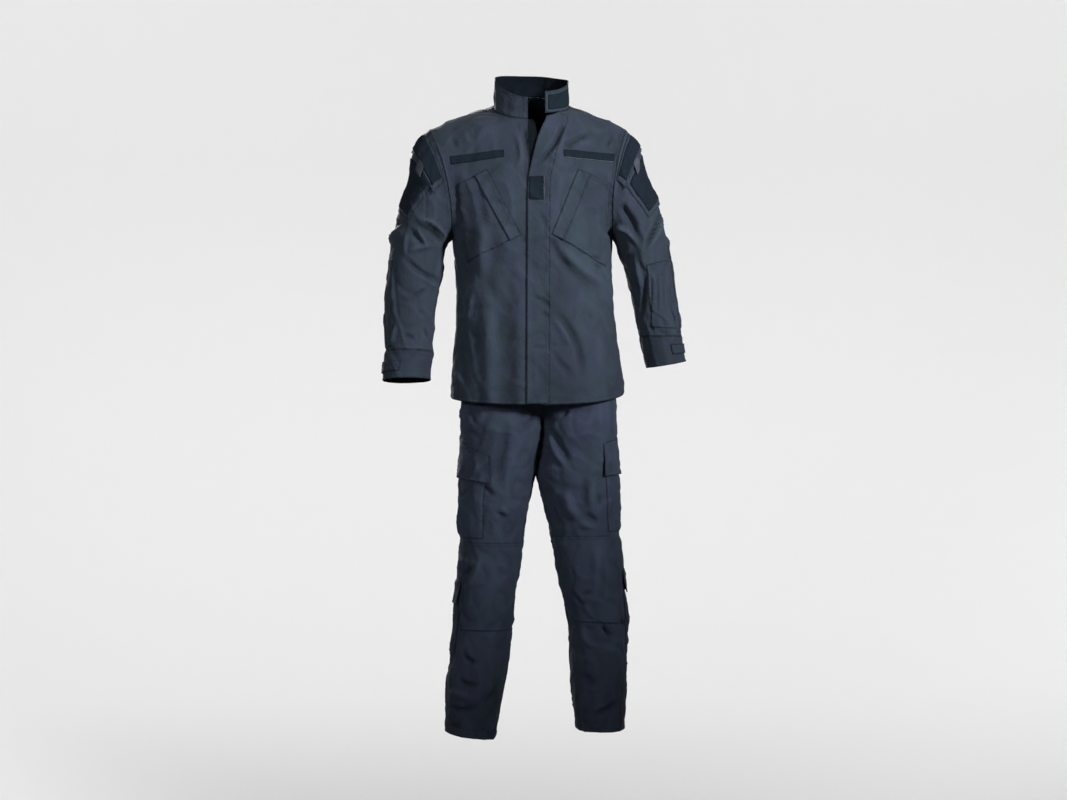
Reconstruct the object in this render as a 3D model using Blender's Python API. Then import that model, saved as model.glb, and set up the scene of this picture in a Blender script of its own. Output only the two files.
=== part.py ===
"""Combat uniform: a jacket and trousers of thin cloth, in the shape they take when worn.

Metres, +Z up, the front faces -Y and the wearer's left is +X. The origin is between the shoulders, at
the height where the shoulder seams rest on the wearer. Every piece is a cloth wall: a grid of points on
one of three surfaces (body, sleeve, leg), thickened inwards. What is sewn on a panel is made from the
same surface, moved out.
"""
import math
from dataclasses import dataclass
from typing import NamedTuple

import bmesh
import bpy
from mathutils import Vector

# Cloth
WALL = 0.0012
DOUBLED = 0.0022        # collar, cuffs and waistband, of two layers
TAPE_WALL = 0.0010
SEAM = 0.0004           # each panel stops this far short of its seam
STEP = 0.0005           # step for slopes taken on a surface
HALVINGS = 36           # times the search for a course is halved
JUST_OFF = 0.01         # degrees that tell one side of a leg's outer seam from the other

# Courses of the body, counted up from the hem
UNDERARM = 6
CHEST = 10              # above this course the cloth drops more evenly from neck to armhole
NECK = 14
SHOULDER = 18
UNDERARM_Z = -0.300
HEM_FRONT_Z = -0.688
HEM_BACK_Z = -0.680
HEM_RIGHT_Z = -0.669
HEM_LEFT_Z = -0.656
SQUARENESS = 0.88       # 1 gives elliptical sections, less gives squarer ones
ARM_ANGLE = 62          # how far a chest course turns before its armhole, in degrees
SHOULDER_ARCH = 0.005
FRONT_CENTRE = 0.1      # degrees round the neck that stand for its front middle on either side
BODY_COLUMNS = 6        # cells from the opening or centre back to the side seam
BODY_MIDDLE = Vector((0, 0, -0.3))

# Neck ring, seen from above, and the collar that stands on it
NECK_X = -0.008
NECK_HALF = 0.0885
NECK_FRONT = 0.078
NECK_BACK = 0.075
NECK_SIDE_Z = 0.012
NECK_DROP_RIGHT = 0.034
NECK_DROP_LEFT = 0.021
NECK_RISE = 0.033
COLLAR_HEIGHT = 0.051
COLLAR_TAPER = 0.99
COLLAR_GAP = 0.0008

# Storm flap over the zip
PLACKET_WIDTH = 0.053
STRIP_HEM = 0.03        # share of a course by which strips stop short of the hem and neckline
ZIP_TEETH_X = 0.0030
TAPE_HIDE = 0.0015
SLIDER_SIZE = Vector((0.009, 0.0018, 0.012))
SLIDER_Z = -0.165

# Trousers
WAIST_Z = -0.430
WAISTBAND_Z = -0.468
LEG_COLUMNS = 6
LEG_LEVELS = (
    -1.36, -1.28, -1.20, -1.12, -1.04, -0.96, -0.88, -0.85, -0.80, -0.745, -0.715, -0.68, -0.63, -0.54,
)
WAIST_COLUMNS = 12
HIPS_MIDDLE = Vector((0, 0, -0.6))


class BodyRow(NamedTuple):
    """A level section of the jacket's body."""
    z: float
    centre: float
    half: float
    front: float
    back: float


BODY = (
    BodyRow(-0.690, 0.008, 0.2080, 0.146, 0.142),
    BodyRow(-0.630, 0.007, 0.2030, 0.143, 0.136),
    BodyRow(-0.555, 0.005, 0.1935, 0.139, 0.127),
    BodyRow(-0.498, 0.003, 0.1885, 0.136, 0.120),
    BodyRow(-0.441, 0.001, 0.1850, 0.134, 0.117),
    BodyRow(-0.385, -0.002, 0.1840, 0.133, 0.121),
    BodyRow(-0.300, -0.006, 0.1890, 0.132, 0.132),
    BodyRow(-0.200, -0.006, 0.1900, 0.125, 0.138),
    BodyRow(-0.100, -0.009, 0.2000, 0.103, 0.128),
    BodyRow(-0.022, -0.008, 0.2000, 0.078, 0.108),
    BodyRow(0.045, -0.008, 0.2000, 0.078, 0.075),
)


class SleeveRow(NamedTuple):
    """A ring round a sleeve: its outer and inner points seen from the front, and its depth."""
    down: float
    outer_x: float
    outer_z: float
    inner_x: float
    inner_z: float
    depth: float
    middle_y: float
    bow: float
    pitch: float


RIGHT_SLEEVE = (
    SleeveRow(0.000, -0.250, -0.040, -0.195, -0.300, 0.086, 0.000, 0.018, 0.000),
    SleeveRow(0.050, -0.280, -0.078, -0.199, -0.303, 0.087, 0.000, 0.012, 0.000),
    SleeveRow(0.120, -0.294, -0.150, -0.206, -0.308, 0.086, 0.000, 0.006, 0.000),
    SleeveRow(0.200, -0.318, -0.230, -0.211, -0.318, 0.083, 0.000, 0.002, 0.000),
    SleeveRow(0.275, -0.340, -0.305, -0.214, -0.340, 0.080, 0.000, 0.000, 0.000),
    SleeveRow(0.340, -0.346, -0.368, -0.217, -0.380, 0.076, 0.000, 0.000, 0.001),
    SleeveRow(0.405, -0.352, -0.432, -0.232, -0.436, 0.072, -0.002, 0.000, 0.002),
    SleeveRow(0.465, -0.354, -0.490, -0.239, -0.492, 0.069, -0.006, 0.000, 0.003),
    SleeveRow(0.540, -0.352, -0.563, -0.241, -0.565, 0.064, -0.013, 0.000, 0.005),
    SleeveRow(0.612, -0.359, -0.634, -0.246, -0.632, 0.062, -0.020, 0.000, 0.006),
)
RIGHT_CUFF_SEAM = 0.540
RIGHT_CUFF_END = 0.610
SLEEVE_COLUMNS = 24
SLEEVE_COURSES = (0.0, 0.030, 0.075, 0.130, 0.200, 0.280, 0.360, 0.440)
CUFF_FULLNESS = 1.012

LEFT_SLEEVE = (
    SleeveRow(0.000, 0.215, -0.040, 0.183, -0.300, 0.086, 0.000, 0.015, 0.000),
    SleeveRow(0.050, 0.242, -0.075, 0.187, -0.305, 0.087, 0.000, 0.010, 0.000),
    SleeveRow(0.120, 0.259, -0.140, 0.190, -0.315, 0.086, 0.000, 0.005, 0.000),
    SleeveRow(0.190, 0.285, -0.200, 0.193, -0.327, 0.083, 0.000, 0.002, 0.000),
    SleeveRow(0.265, 0.308, -0.275, 0.203, -0.350, 0.080, 0.000, 0.000, 0.000),
    SleeveRow(0.335, 0.321, -0.348, 0.217, -0.390, 0.076, -0.002, 0.000, 0.000),
    SleeveRow(0.410, 0.331, -0.422, 0.228, -0.440, 0.071, -0.006, 0.000, 0.000),
    SleeveRow(0.470, 0.338, -0.485, 0.240, -0.492, 0.067, -0.012, 0.000, 0.000),
    SleeveRow(0.512, 0.342, -0.527, 0.246, -0.529, 0.063, -0.018, 0.000, 0.000),
    SleeveRow(0.583, 0.353, -0.588, 0.262, -0.604, 0.061, -0.026, 0.000, -0.002),
)
LEFT_CUFF_SEAM = 0.512
LEFT_CUFF_END = 0.581


class LegRow(NamedTuple):
    """A level section of one trouser leg. Rise is 0 in the leg and 1 in the hips."""
    z: float
    inner: float
    outer: float
    front: float
    back: float
    rise: float
    tilt: float


RIGHT_LEG = (
    LegRow(-1.465, -0.094, -0.212, 0.080, 0.084, 0.0, 0.009),
    LegRow(-1.400, -0.082, -0.212, 0.082, 0.086, 0.0, 0.006),
    LegRow(-1.340, -0.070, -0.210, 0.084, 0.089, 0.0, 0.000),
    LegRow(-1.280, -0.061, -0.198, 0.086, 0.092, 0.0, 0.000),
    LegRow(-1.200, -0.051, -0.190, 0.088, 0.093, 0.0, 0.000),
    LegRow(-1.130, -0.046, -0.186, 0.090, 0.092, 0.0, 0.000),
    LegRow(-1.055, -0.034, -0.182, 0.092, 0.092, 0.0, 0.000),
    LegRow(-0.975, -0.024, -0.176, 0.096, 0.097, 0.0, 0.000),
    LegRow(-0.880, -0.006, -0.174, 0.103, 0.106, 0.0, 0.000),
    LegRow(-0.850, 0.0010, -0.174, 0.105, 0.109, 0.0, 0.000),
    LegRow(-0.800, 0.0100, -0.174, 0.109, 0.115, 0.0, 0.000),
    LegRow(-0.745, 0.0180, -0.175, 0.113, 0.123, 0.0, 0.000),
    LegRow(-0.715, 0.0184, -0.176, 0.115, 0.127, 0.36, 0.000),
    LegRow(-0.680, 0.0184, -0.175, 0.116, 0.130, 0.72, 0.000),
    LegRow(-0.630, 0.0184, -0.172, 0.115, 0.130, 1.0, 0.000),
    LegRow(-0.540, 0.0164, -0.161, 0.108, 0.122, 1.0, 0.000),
    LegRow(-0.430, 0.0124, -0.146, 0.098, 0.106, 1.0, 0.000),
)

LEFT_LEG = (
    LegRow(-1.452, 0.099, 0.210, 0.078, 0.082, 0.0, 0.000),
    LegRow(-1.390, 0.090, 0.213, 0.081, 0.085, 0.0, 0.000),
    LegRow(-1.340, 0.086, 0.216, 0.083, 0.088, 0.0, 0.000),
    LegRow(-1.280, 0.084, 0.216, 0.086, 0.091, 0.0, 0.000),
    LegRow(-1.205, 0.078, 0.216, 0.088, 0.093, 0.0, 0.000),
    LegRow(-1.130, 0.061, 0.212, 0.090, 0.093, 0.0, 0.000),
    LegRow(-1.055, 0.046, 0.209, 0.092, 0.093, 0.0, 0.000),
    LegRow(-0.980, 0.032, 0.197, 0.096, 0.098, 0.0, 0.000),
    LegRow(-0.880, 0.009, 0.192, 0.104, 0.107, 0.0, 0.000),
    LegRow(-0.850, 0.0022, 0.191, 0.106, 0.110, 0.0, 0.000),
    LegRow(-0.800, 0.0110, 0.191, 0.109, 0.115, 0.0, 0.000),
    LegRow(-0.745, 0.0190, 0.191, 0.113, 0.123, 0.0, 0.000),
    LegRow(-0.715, 0.0194, 0.191, 0.115, 0.127, 0.36, 0.000),
    LegRow(-0.680, 0.0194, 0.191, 0.116, 0.130, 0.72, 0.000),
    LegRow(-0.630, 0.0194, 0.187, 0.115, 0.130, 1.0, 0.000),
    LegRow(-0.540, 0.0174, 0.174, 0.108, 0.122, 1.0, 0.000),
    LegRow(-0.430, 0.0134, 0.156, 0.098, 0.106, 1.0, 0.000),
)


class ClosureRow(NamedTuple):
    """Where the front closure's edges lie at one height."""
    z: float
    flap_edge: float
    right_front: float
    left_front: float
    left_teeth: float


CLOSURE = (
    ClosureRow(-0.700, -0.0190, -0.0100, 0.014, 0.0036),
    ClosureRow(-0.215, -0.0175, -0.0100, 0.014, 0.0036),
    ClosureRow(-0.165, -0.0160, -0.0105, 0.015, 0.0040),
    ClosureRow(-0.132, -0.0105, -0.0125, 0.022, 0.0100),
    ClosureRow(-0.097, -0.0025, -0.0145, 0.031, 0.0180),
    ClosureRow(-0.066, 0.0055, -0.0160, 0.040, 0.0270),
    ClosureRow(-0.037, 0.0160, -0.0165, 0.050, 0.0370),
    ClosureRow(-0.020, 0.0230, -0.0165, 0.056, 0.0430),
    ClosureRow(0.020, 0.0280, -0.0165, 0.060, 0.0470),
)


@dataclass(frozen=True)
class Cloth:
    """A fabric's colour and roughness."""
    name: str
    colour: tuple
    roughness: float


JACKET_CLOTH = Cloth("jacket_twill", (0.040, 0.055, 0.075, 1.0), 0.85)
TROUSER_CLOTH = Cloth("trouser_twill", (0.020, 0.028, 0.050, 1.0), 0.85)
LOOP_FIELD = Cloth("loop_field", (0.022, 0.030, 0.036, 1.0), 0.95)
ZIP_TAPE = Cloth("zip_tape", (0.030, 0.035, 0.045, 1.0), 0.80)
ZIP_METAL = Cloth("zip_slider", (0.060, 0.060, 0.065, 1.0), 0.45)
PULL_TAPE = Cloth("pull_tab", (0.120, 0.130, 0.135, 1.0), 0.80)


def mix(start: float, end: float, part: float) -> float:
    """Value part of the way from start to end."""
    return start + (end - start) * part


def between(rows: tuple, place: float):
    """Row of a table at a place in its first column, on smooth curves that never overshoot the rows."""
    place = min(max(place, rows[0][0]), rows[-1][0])
    upper = next(i for i in range(1, len(rows)) if place <= rows[i][0])
    low, high = rows[upper - 1], rows[upper]
    gap = high[0] - low[0]
    part = (place - low[0]) / gap

    def slope(index: int, column: int) -> float:
        if index == 0 or index == len(rows) - 1:
            return (high[column] - low[column]) / gap
        before, here, after = rows[index - 1], rows[index], rows[index + 1]
        first = (here[column] - before[column]) / (here[0] - before[0])
        second = (after[column] - here[column]) / (after[0] - here[0])
        return 0.0 if first * second <= 0 else 2 * first * second / (first + second)

    values = [place]
    for column in range(1, len(low)):
        start = slope(upper - 1, column) * gap
        end = slope(upper, column) * gap
        rise = high[column] - low[column]
        curve = (start + end - 2 * rise) * part ** 3 + (3 * rise - 2 * start - end) * part ** 2
        values.append(low[column] + start * part + curve)
    return type(low)(*values)


def rounded(value: float) -> float:
    """Sine or cosine made squarer, keeping its sign."""
    return math.copysign(abs(value) ** SQUARENESS, value)


@dataclass(frozen=True)
class Sleeve:
    """Surface of a sleeve. Places are metres down from the shoulder, and degrees round from its outer line."""
    rows: tuple
    side: int

    def point(self, down: float, turn: float) -> Vector:
        """Point of the sleeve; turn 90 is its front and 180 its underarm line."""
        row = between(self.rows, down)
        angle = math.radians(turn)
        reach = math.cos(angle)
        forward = math.sin(angle)
        x = (row.outer_x + row.inner_x + (row.outer_x - row.inner_x) * reach) / 2
        z = (row.outer_z + row.inner_z + (row.outer_z - row.inner_z) * reach) / 2
        x -= self.side * row.bow * forward ** 2
        return Vector((x, row.middle_y - row.depth * forward, z + row.pitch * forward))

    def inside(self, down: float, turn: float) -> Vector:
        """Middle of the sleeve's hollow at this place."""
        return (self.point(down, 0) + self.point(down, 180)) / 2


@dataclass(frozen=True)
class Leg:
    """Surface of a trouser leg. Places are a height, and degrees round from the outer seam."""
    rows: tuple

    def point(self, z: float, turn: float) -> Vector:
        """Point of the leg; turn 90 is its front, 180 its inner seam and -90 its back."""
        row = between(self.rows, z)
        angle = math.radians(abs(turn))
        depth = -row.front if turn > 0 else row.back
        middle = (row.inner + row.outer) / 2
        lobe_x = middle + (row.outer - row.inner) / 2 * rounded(math.cos(angle))
        lobe_y = depth * rounded(math.sin(angle))
        hip_x = row.inner + (row.outer - row.inner) * rounded(math.cos(angle / 2))
        hip_y = depth * rounded(math.sin(angle / 2))
        lift = row.tilt * math.cos(angle)
        return Vector((mix(lobe_x, hip_x, row.rise), mix(lobe_y, hip_y, row.rise), row.z + lift))

    def inside(self, z: float, turn: float) -> Vector:
        """Middle of the leg at this height."""
        row = between(self.rows, z)
        return Vector((mix((row.inner + row.outer) / 2, row.inner, row.rise), 0, row.z))


RIGHT_ARM = Sleeve(RIGHT_SLEEVE, -1)
LEFT_ARM = Sleeve(LEFT_SLEEVE, 1)
RIGHT_TROUSER = Leg(RIGHT_LEG)
LEFT_TROUSER = Leg(LEFT_LEG)


def neck_ring(turn: float) -> Vector:
    """Point of the neckline seam; turn 0 is the front, 90 the wearer's left and 180 the back."""
    angle = math.radians(turn)
    forward = math.cos(angle)
    x = NECK_X + NECK_HALF * math.sin(angle)
    if forward < 0:
        return Vector((x, -NECK_BACK * forward, NECK_SIDE_Z - NECK_RISE * forward))
    drop = NECK_DROP_LEFT if math.sin(angle) > 0 else NECK_DROP_RIGHT
    return Vector((x, -NECK_FRONT * forward, NECK_SIDE_Z - drop * forward))


def neck_turn(x: float) -> float:
    """Degrees round the front of the neck ring where it passes this x."""
    return math.degrees(math.asin((x - NECK_X) / NECK_HALF))


RIGHT_OPENING = neck_turn(CLOSURE[-2].right_front)
LEFT_OPENING = neck_turn(CLOSURE[-2].left_front)


@dataclass(frozen=True)
class Body:
    """Half of the jacket's body: side 1 is the wearer's left, face 1 the back."""
    side: int
    face: int

    def edge(self, course: float) -> Vector:
        """Side seam below the underarm, armhole above it."""
        if course > UNDERARM:
            turn = 180 * (SHOULDER - course) / (SHOULDER - UNDERARM)
            arm = LEFT_ARM if self.side > 0 else RIGHT_ARM
            return arm.point(0, -self.face * turn)
        z = mix(HEM_LEFT_Z if self.side > 0 else HEM_RIGHT_Z, UNDERARM_Z, course / UNDERARM)
        row = between(BODY, z)
        return Vector((row.centre + self.side * row.half, 0, z))

    def middle(self, course: float) -> Vector:
        """Centre line up to the neck, then the neckline seam."""
        if course >= NECK:
            start = 180 if self.face > 0 else abs(LEFT_OPENING if self.side > 0 else RIGHT_OPENING)
            turn = mix(start, 90, (course - NECK) / (SHOULDER - NECK))
            return neck_ring(self.side * turn)
        hem = HEM_BACK_Z if self.face > 0 else HEM_FRONT_Z
        top = neck_ring(180 if self.face > 0 else self.side * FRONT_CENTRE).z
        if course > UNDERARM:
            z = mix(UNDERARM_Z, top, (course - UNDERARM) / (NECK - UNDERARM))
        else:
            z = mix(hem, UNDERARM_Z, course / UNDERARM)
        row = between(BODY, z)
        return Vector((row.centre, row.back if self.face > 0 else -row.front, z))

    def point(self, course: float, x: float) -> Vector:
        """Point of a course at this x. The last course below the neck runs up into the neckline."""
        if NECK - 1 < course < NECK:
            lower, upper = self.point(NECK - 1, x), self.point(NECK, x)
            return lower.lerp(upper, course - NECK + 1)
        start, end = self.middle(course), self.edge(course)
        if course >= NECK and (x - start.x) * self.side < 0 and self.face < 0:
            ring = neck_ring(self.side * max(self.side * neck_turn(x), FRONT_CENTRE))
            return Vector((x, ring.y, ring.z))
        part = min(max((x - start.x) / (end.x - start.x), 0), 1)
        turned = min(max((course - UNDERARM) / 2, 0), 1)
        last = math.radians(mix(90, ARM_ANGLE, turned))
        end_sine, end_cosine = rounded(math.sin(last)), rounded(math.cos(last))
        sine = (part * end_sine) ** (1 / SQUARENESS)
        cosine = rounded(math.sqrt(max(1 - sine * sine, 0)))
        bulge = max((cosine - end_cosine) / (1 - end_cosine), 0)
        straight = min(max((course - CHEST) / (SHOULDER - CHEST), 0), 1)
        fall = mix(bulge, 1 - part, straight)
        arch = SHOULDER_ARCH * max(course - NECK, 0) / (SHOULDER - NECK) * math.sin(math.pi * part)
        return Vector((x, mix(end.y, start.y, bulge), mix(end.z, start.z, fall) + arch))


@dataclass(frozen=True)
class Front:
    """The whole front of the body. Places are x and z, as seen from the front."""

    def point(self, x: float, z: float) -> Vector:
        """Point of the front at this place, found by halving the run of courses."""
        half = Body(1 if x > between(BODY, z).centre else -1, -1)
        low, high = 0.0, float(SHOULDER)
        for _ in range(HALVINGS):
            course = (low + high) / 2
            if half.point(course, x).z > z:
                high = course
            else:
                low = course
        found = half.point(low, x)
        return Vector((x, found.y, z))

    def inside(self, x: float, z: float) -> Vector:
        """Middle of the body's hollow at this height."""
        return Vector((between(BODY, z).centre, 0, z))


FRONT = Front()


def outward(surface, first: float, second: float) -> Vector:
    """Direction straight out of a surface."""
    scale = 1 if isinstance(surface, Front) else 100
    here = surface.point(first, second)
    along = surface.point(first + STEP, second) - here
    across = surface.point(first, second + STEP * scale) - here
    normal = along.cross(across).normalized()
    return normal if normal.dot(here - surface.inside(first, second)) > 0 else -normal


def spread(start: float, end: float, count: int) -> list:
    """Evenly spread values from start to end, both included."""
    return [mix(start, end, i / count) for i in range(count + 1)]


def trimmed(grid: list, round_about: bool = False) -> list:
    """Grid whose outer rows and columns stop short of their seams."""
    def pulled(edge: Vector, inner: Vector) -> Vector:
        return edge + (inner - edge).normalized() * SEAM

    rows = [list(row) for row in grid]
    for near, far in ((0, 1), (-1, -2)):
        rows[near] = [pulled(a, b) for a, b in zip(rows[near], rows[far])]
        if not round_about:
            for row in rows:
                row[near] = pulled(row[near], row[far])
    return rows


def material_of(cloth: Cloth):
    """Blender material of a cloth, made once."""
    material = bpy.data.materials.get(cloth.name)
    if material is None:
        material = bpy.data.materials.new(cloth.name)
        material.use_nodes = True
        shader = material.node_tree.nodes["Principled BSDF"]
        shader.inputs["Base Color"].default_value = cloth.colour
        shader.inputs["Roughness"].default_value = cloth.roughness
        shader.inputs["Metallic"].default_value = 0.0
    return material


def faces_of(rows: int, columns: int, closed: bool) -> list:
    """Quads of a grid, joined round when closed."""
    across = columns if closed else columns - 1
    faces = []
    for row in range(0, (rows - 1) * columns, columns):
        for column in range(across):
            following = (column + 1) % columns
            faces.append((row + column, row + following, row + columns + following, row + columns + column))
    return faces


def wall(name: str, points: list, faces: list, centre: Vector, thickness: float, cloth: Cloth):
    """Node of this name: the faces turned away from the centre and thickened inwards."""
    mesh = bpy.data.meshes.new(name)
    mesh.from_pydata(points, [], faces)
    outwards = sum(face.normal.dot(face.center - centre) * face.area for face in mesh.polygons)
    if outwards < 0:
        mesh.flip_normals()
    mesh.materials.append(material_of(cloth))
    mesh.shade_smooth()
    piece = bpy.data.objects.new(name, mesh)
    bpy.context.scene.collection.objects.link(piece)
    solidify = piece.modifiers.new("thickness", "SOLIDIFY")
    solidify.thickness = thickness
    solidify.offset = -1
    return piece


def grid_wall(name: str, grid: list, centre: Vector, thickness: float, cloth: Cloth, closed: bool = False):
    """Node of this name from rows of points."""
    points = [point for row in grid for point in row]
    return wall(name, points, faces_of(len(grid), len(grid[0]), closed), centre, thickness, cloth)


@dataclass(frozen=True)
class Patch:
    """Cloth sewn on a surface, with four corners: two along its first edge, then two along its far edge.

    Corners run top, bottom, far bottom, far top. The lifts are the clear gaps under the two edges, and
    puff is how much further the middle stands off.
    """
    name: str
    surface: object
    corners: tuple
    lift: float
    far_lift: float
    puff: float
    across: int
    along: int
    thickness: float
    cloth: Cloth

    def make(self):
        """Node of the patch."""
        top, bottom, far_bottom, far_top = self.corners
        grid = []
        for v in spread(0, 1, self.along):
            row = []
            for u in spread(0, 1, self.across):
                first = mix(mix(top[0], bottom[0], v), mix(far_top[0], far_bottom[0], v), u)
                second = mix(mix(top[1], bottom[1], v), mix(far_top[1], far_bottom[1], v), u)
                crown = self.puff * math.sin(math.pi * u) * math.sin(math.pi * v)
                height = mix(self.lift, self.far_lift, u) + crown + self.thickness
                place = self.surface.point(first, second)
                row.append(place + outward(self.surface, first, second) * height)
            grid.append(row)
        middle = [mix(top[i], far_bottom[i], 0.5) for i in range(2)]
        grid_wall(self.name, grid, self.surface.inside(*middle), self.thickness, self.cloth)


def columns_of(half: Body, course: int, opening: float) -> list:
    """A course's points, from the x where it starts to its side seam or armhole."""
    shares = spread(0, 1, BODY_COLUMNS)
    if course <= UNDERARM + 1:
        # They close up towards the side seam, where the cloth turns most
        shares = [math.sin(math.pi / 2 * share) for share in shares]
    end = half.edge(course)
    return [half.point(course, mix(opening, end.x, share)) for share in shares[:-1]] + [end]


def make_front(side: int):
    """One front of the jacket, from its opening to the side seam, armhole, neckline and shoulder seam."""
    half = Body(side, -1)
    grid = []
    for course in range(SHOULDER + 1):
        start = half.middle(course)
        opening = start.x
        if course < NECK:
            row = between(CLOSURE, start.z)
            opening = row.left_front if side > 0 else row.right_front
        grid.append(columns_of(half, course, opening))
    name = "front_left" if side > 0 else "front_right"
    grid_wall(name, trimmed(grid), BODY_MIDDLE, WALL, JACKET_CLOTH)


def make_back():
    """The back, in one piece; above the neck course its two shoulders part round the neckline."""
    rows = []
    for course in range(SHOULDER + 1):
        row = []
        for side in (-1, 1):
            half = Body(side, 1)
            columns = columns_of(half, course, half.middle(course).x)
            row.append(columns if side > 0 else columns[::-1])
        rows.append(row)
    grid = trimmed([right + left for right, left in rows])
    width = len(grid[0])
    middle = width // 2
    points = [point for row in grid for point in row]
    for course in range(NECK + 1):
        points[course * width + middle] = points[course * width + middle - 1]
    faces = []
    for course in range(SHOULDER):
        for column in range(width - 1):
            if column == middle - 1:
                continue
            ring = [(course, column), (course, column + 1), (course + 1, column + 1), (course + 1, column)]
            faces.append(tuple(
                r * width + (middle - 1 if c == middle and r <= NECK else c) for r, c in ring
            ))
    used = sorted({index for face in faces for index in face})
    place = {old: new for new, old in enumerate(used)}
    points = [points[index] for index in used]
    faces = [tuple(place[index] for index in face) for face in faces]
    wall("back", points, faces, BODY_MIDDLE, WALL, JACKET_CLOTH)


def front_strip(name: str, side: int, edges, lifts: tuple, thickness: float, cloth: Cloth, across: int):
    """A strip from hem to neckline on one half's courses; edges(row) gives its two sides' x."""
    half = Body(side, -1)
    grid = []
    for course in [STRIP_HEM] + list(range(1, NECK)) + [NECK - STRIP_HEM]:
        level = half.middle(course).z
        row = []
        for u in spread(0, 1, across):
            x = mix(*edges(between(CLOSURE, level)), u)
            place = half.point(course, x)
            row.append(place + outward(FRONT, x, place.z) * (mix(*lifts, u) + thickness))
        grid.append(row)
    grid_wall(name, grid, BODY_MIDDLE, thickness, cloth)


def make_closure():
    """Storm flap, and the two zip tapes under it."""
    def flap(row: ClosureRow) -> tuple:
        return row.flap_edge, row.flap_edge + PLACKET_WIDTH

    def right_tape(row: ClosureRow) -> tuple:
        return row.right_front + TAPE_HIDE, ZIP_TEETH_X

    def left_tape(row: ClosureRow) -> tuple:
        return row.left_teeth, row.left_front - TAPE_HIDE

    flush = (-TAPE_WALL, -TAPE_WALL)
    front_strip("placket", 1, flap, (0.0055, 0.0010), WALL, JACKET_CLOTH, 3)
    front_strip("zip_tape_right", -1, right_tape, flush, TAPE_WALL, ZIP_TAPE, 1)
    front_strip("zip_tape_left", 1, left_tape, flush, TAPE_WALL, ZIP_TAPE, 1)


def make_slider():
    """Zip slider, lying on the teeth under the storm flap where they part."""
    form = bmesh.new()
    bmesh.ops.create_cube(form, size=1)
    bmesh.ops.scale(form, vec=SLIDER_SIZE, verts=form.verts)
    normal = outward(FRONT, ZIP_TEETH_X, SLIDER_Z)
    turn = normal.to_track_quat("Y", "Z").to_matrix()
    bmesh.ops.rotate(form, cent=Vector(), matrix=turn, verts=form.verts)
    place = FRONT.point(ZIP_TEETH_X, SLIDER_Z) + normal * (SLIDER_SIZE.y / 2 + 2 * SEAM)
    bmesh.ops.translate(form, vec=place, verts=form.verts)
    mesh = bpy.data.meshes.new("zip_slider")
    form.to_mesh(mesh)
    form.free()
    mesh.materials.append(material_of(ZIP_METAL))
    bpy.context.scene.collection.objects.link(bpy.data.objects.new("zip_slider", mesh))


def make_sleeve(name: str, arm: Sleeve, seam: float, end: float):
    """Sleeve from armhole to cuff seam, and its cuff."""
    turns = spread(0, 360, SLEEVE_COLUMNS)[:-1]
    grid = [[arm.point(down, turn) for turn in turns] for down in SLEEVE_COURSES + (seam,)]
    grid_wall(f"sleeve_{name}", trimmed(grid, True), arm.inside(seam / 2, 0), WALL, JACKET_CLOTH, True)
    grid = []
    for down in spread(seam, end, 2):
        middle = arm.inside(down, 0)
        grid.append([middle + (arm.point(down, turn) - middle) * CUFF_FULLNESS for turn in turns])
    grid_wall(f"cuff_{name}", trimmed(grid, True), arm.inside(end, 0), DOUBLED, JACKET_CLOTH, True)


def make_trouser_panels():
    """Front and back panel of each leg, from hem to waistband."""
    for name, leg in (("right", RIGHT_TROUSER), ("left", LEFT_TROUSER)):
        levels = (leg.rows[0].z,) + LEG_LEVELS + (WAISTBAND_Z,)
        for face, sign in (("front", 1), ("back", -1)):
            turns = [sign * max(turn, JUST_OFF) for turn in spread(0, 180, LEG_COLUMNS)]
            grid = [[leg.point(z, turn) for turn in turns] for z in levels]
            grid_wall(f"trouser_{face}_{name}", trimmed(grid), HIPS_MIDDLE, WALL, TROUSER_CLOTH)


def make_waistband():
    """Waistband, open by a hair at the centre front."""
    right = [(RIGHT_TROUSER, turn) for turn in spread(179, -180, WAIST_COLUMNS)]
    left = [(LEFT_TROUSER, turn) for turn in spread(-180, 179, WAIST_COLUMNS)[1:]]
    grid = [[leg.point(z, turn) for leg, turn in right + left] for z in (WAISTBAND_Z, WAIST_Z)]
    grid_wall("waistband", trimmed(grid), HIPS_MIDDLE, DOUBLED, TROUSER_CLOTH)


ON_PANEL = 0.0008       # clear gap under what is sewn flat on a panel
ROUND_SIDE = 0.0026     # the same where the panel turns sharply
ON_CURVE = 0.0024       # the same on a sleeve or a leg
UNDER_CARGO = 0.0032    # the same under the cargo pockets, whose cells are the longest
OVER_BAG = 0.0058       # gap under the free edge of a flap that lies on a pocket

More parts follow.
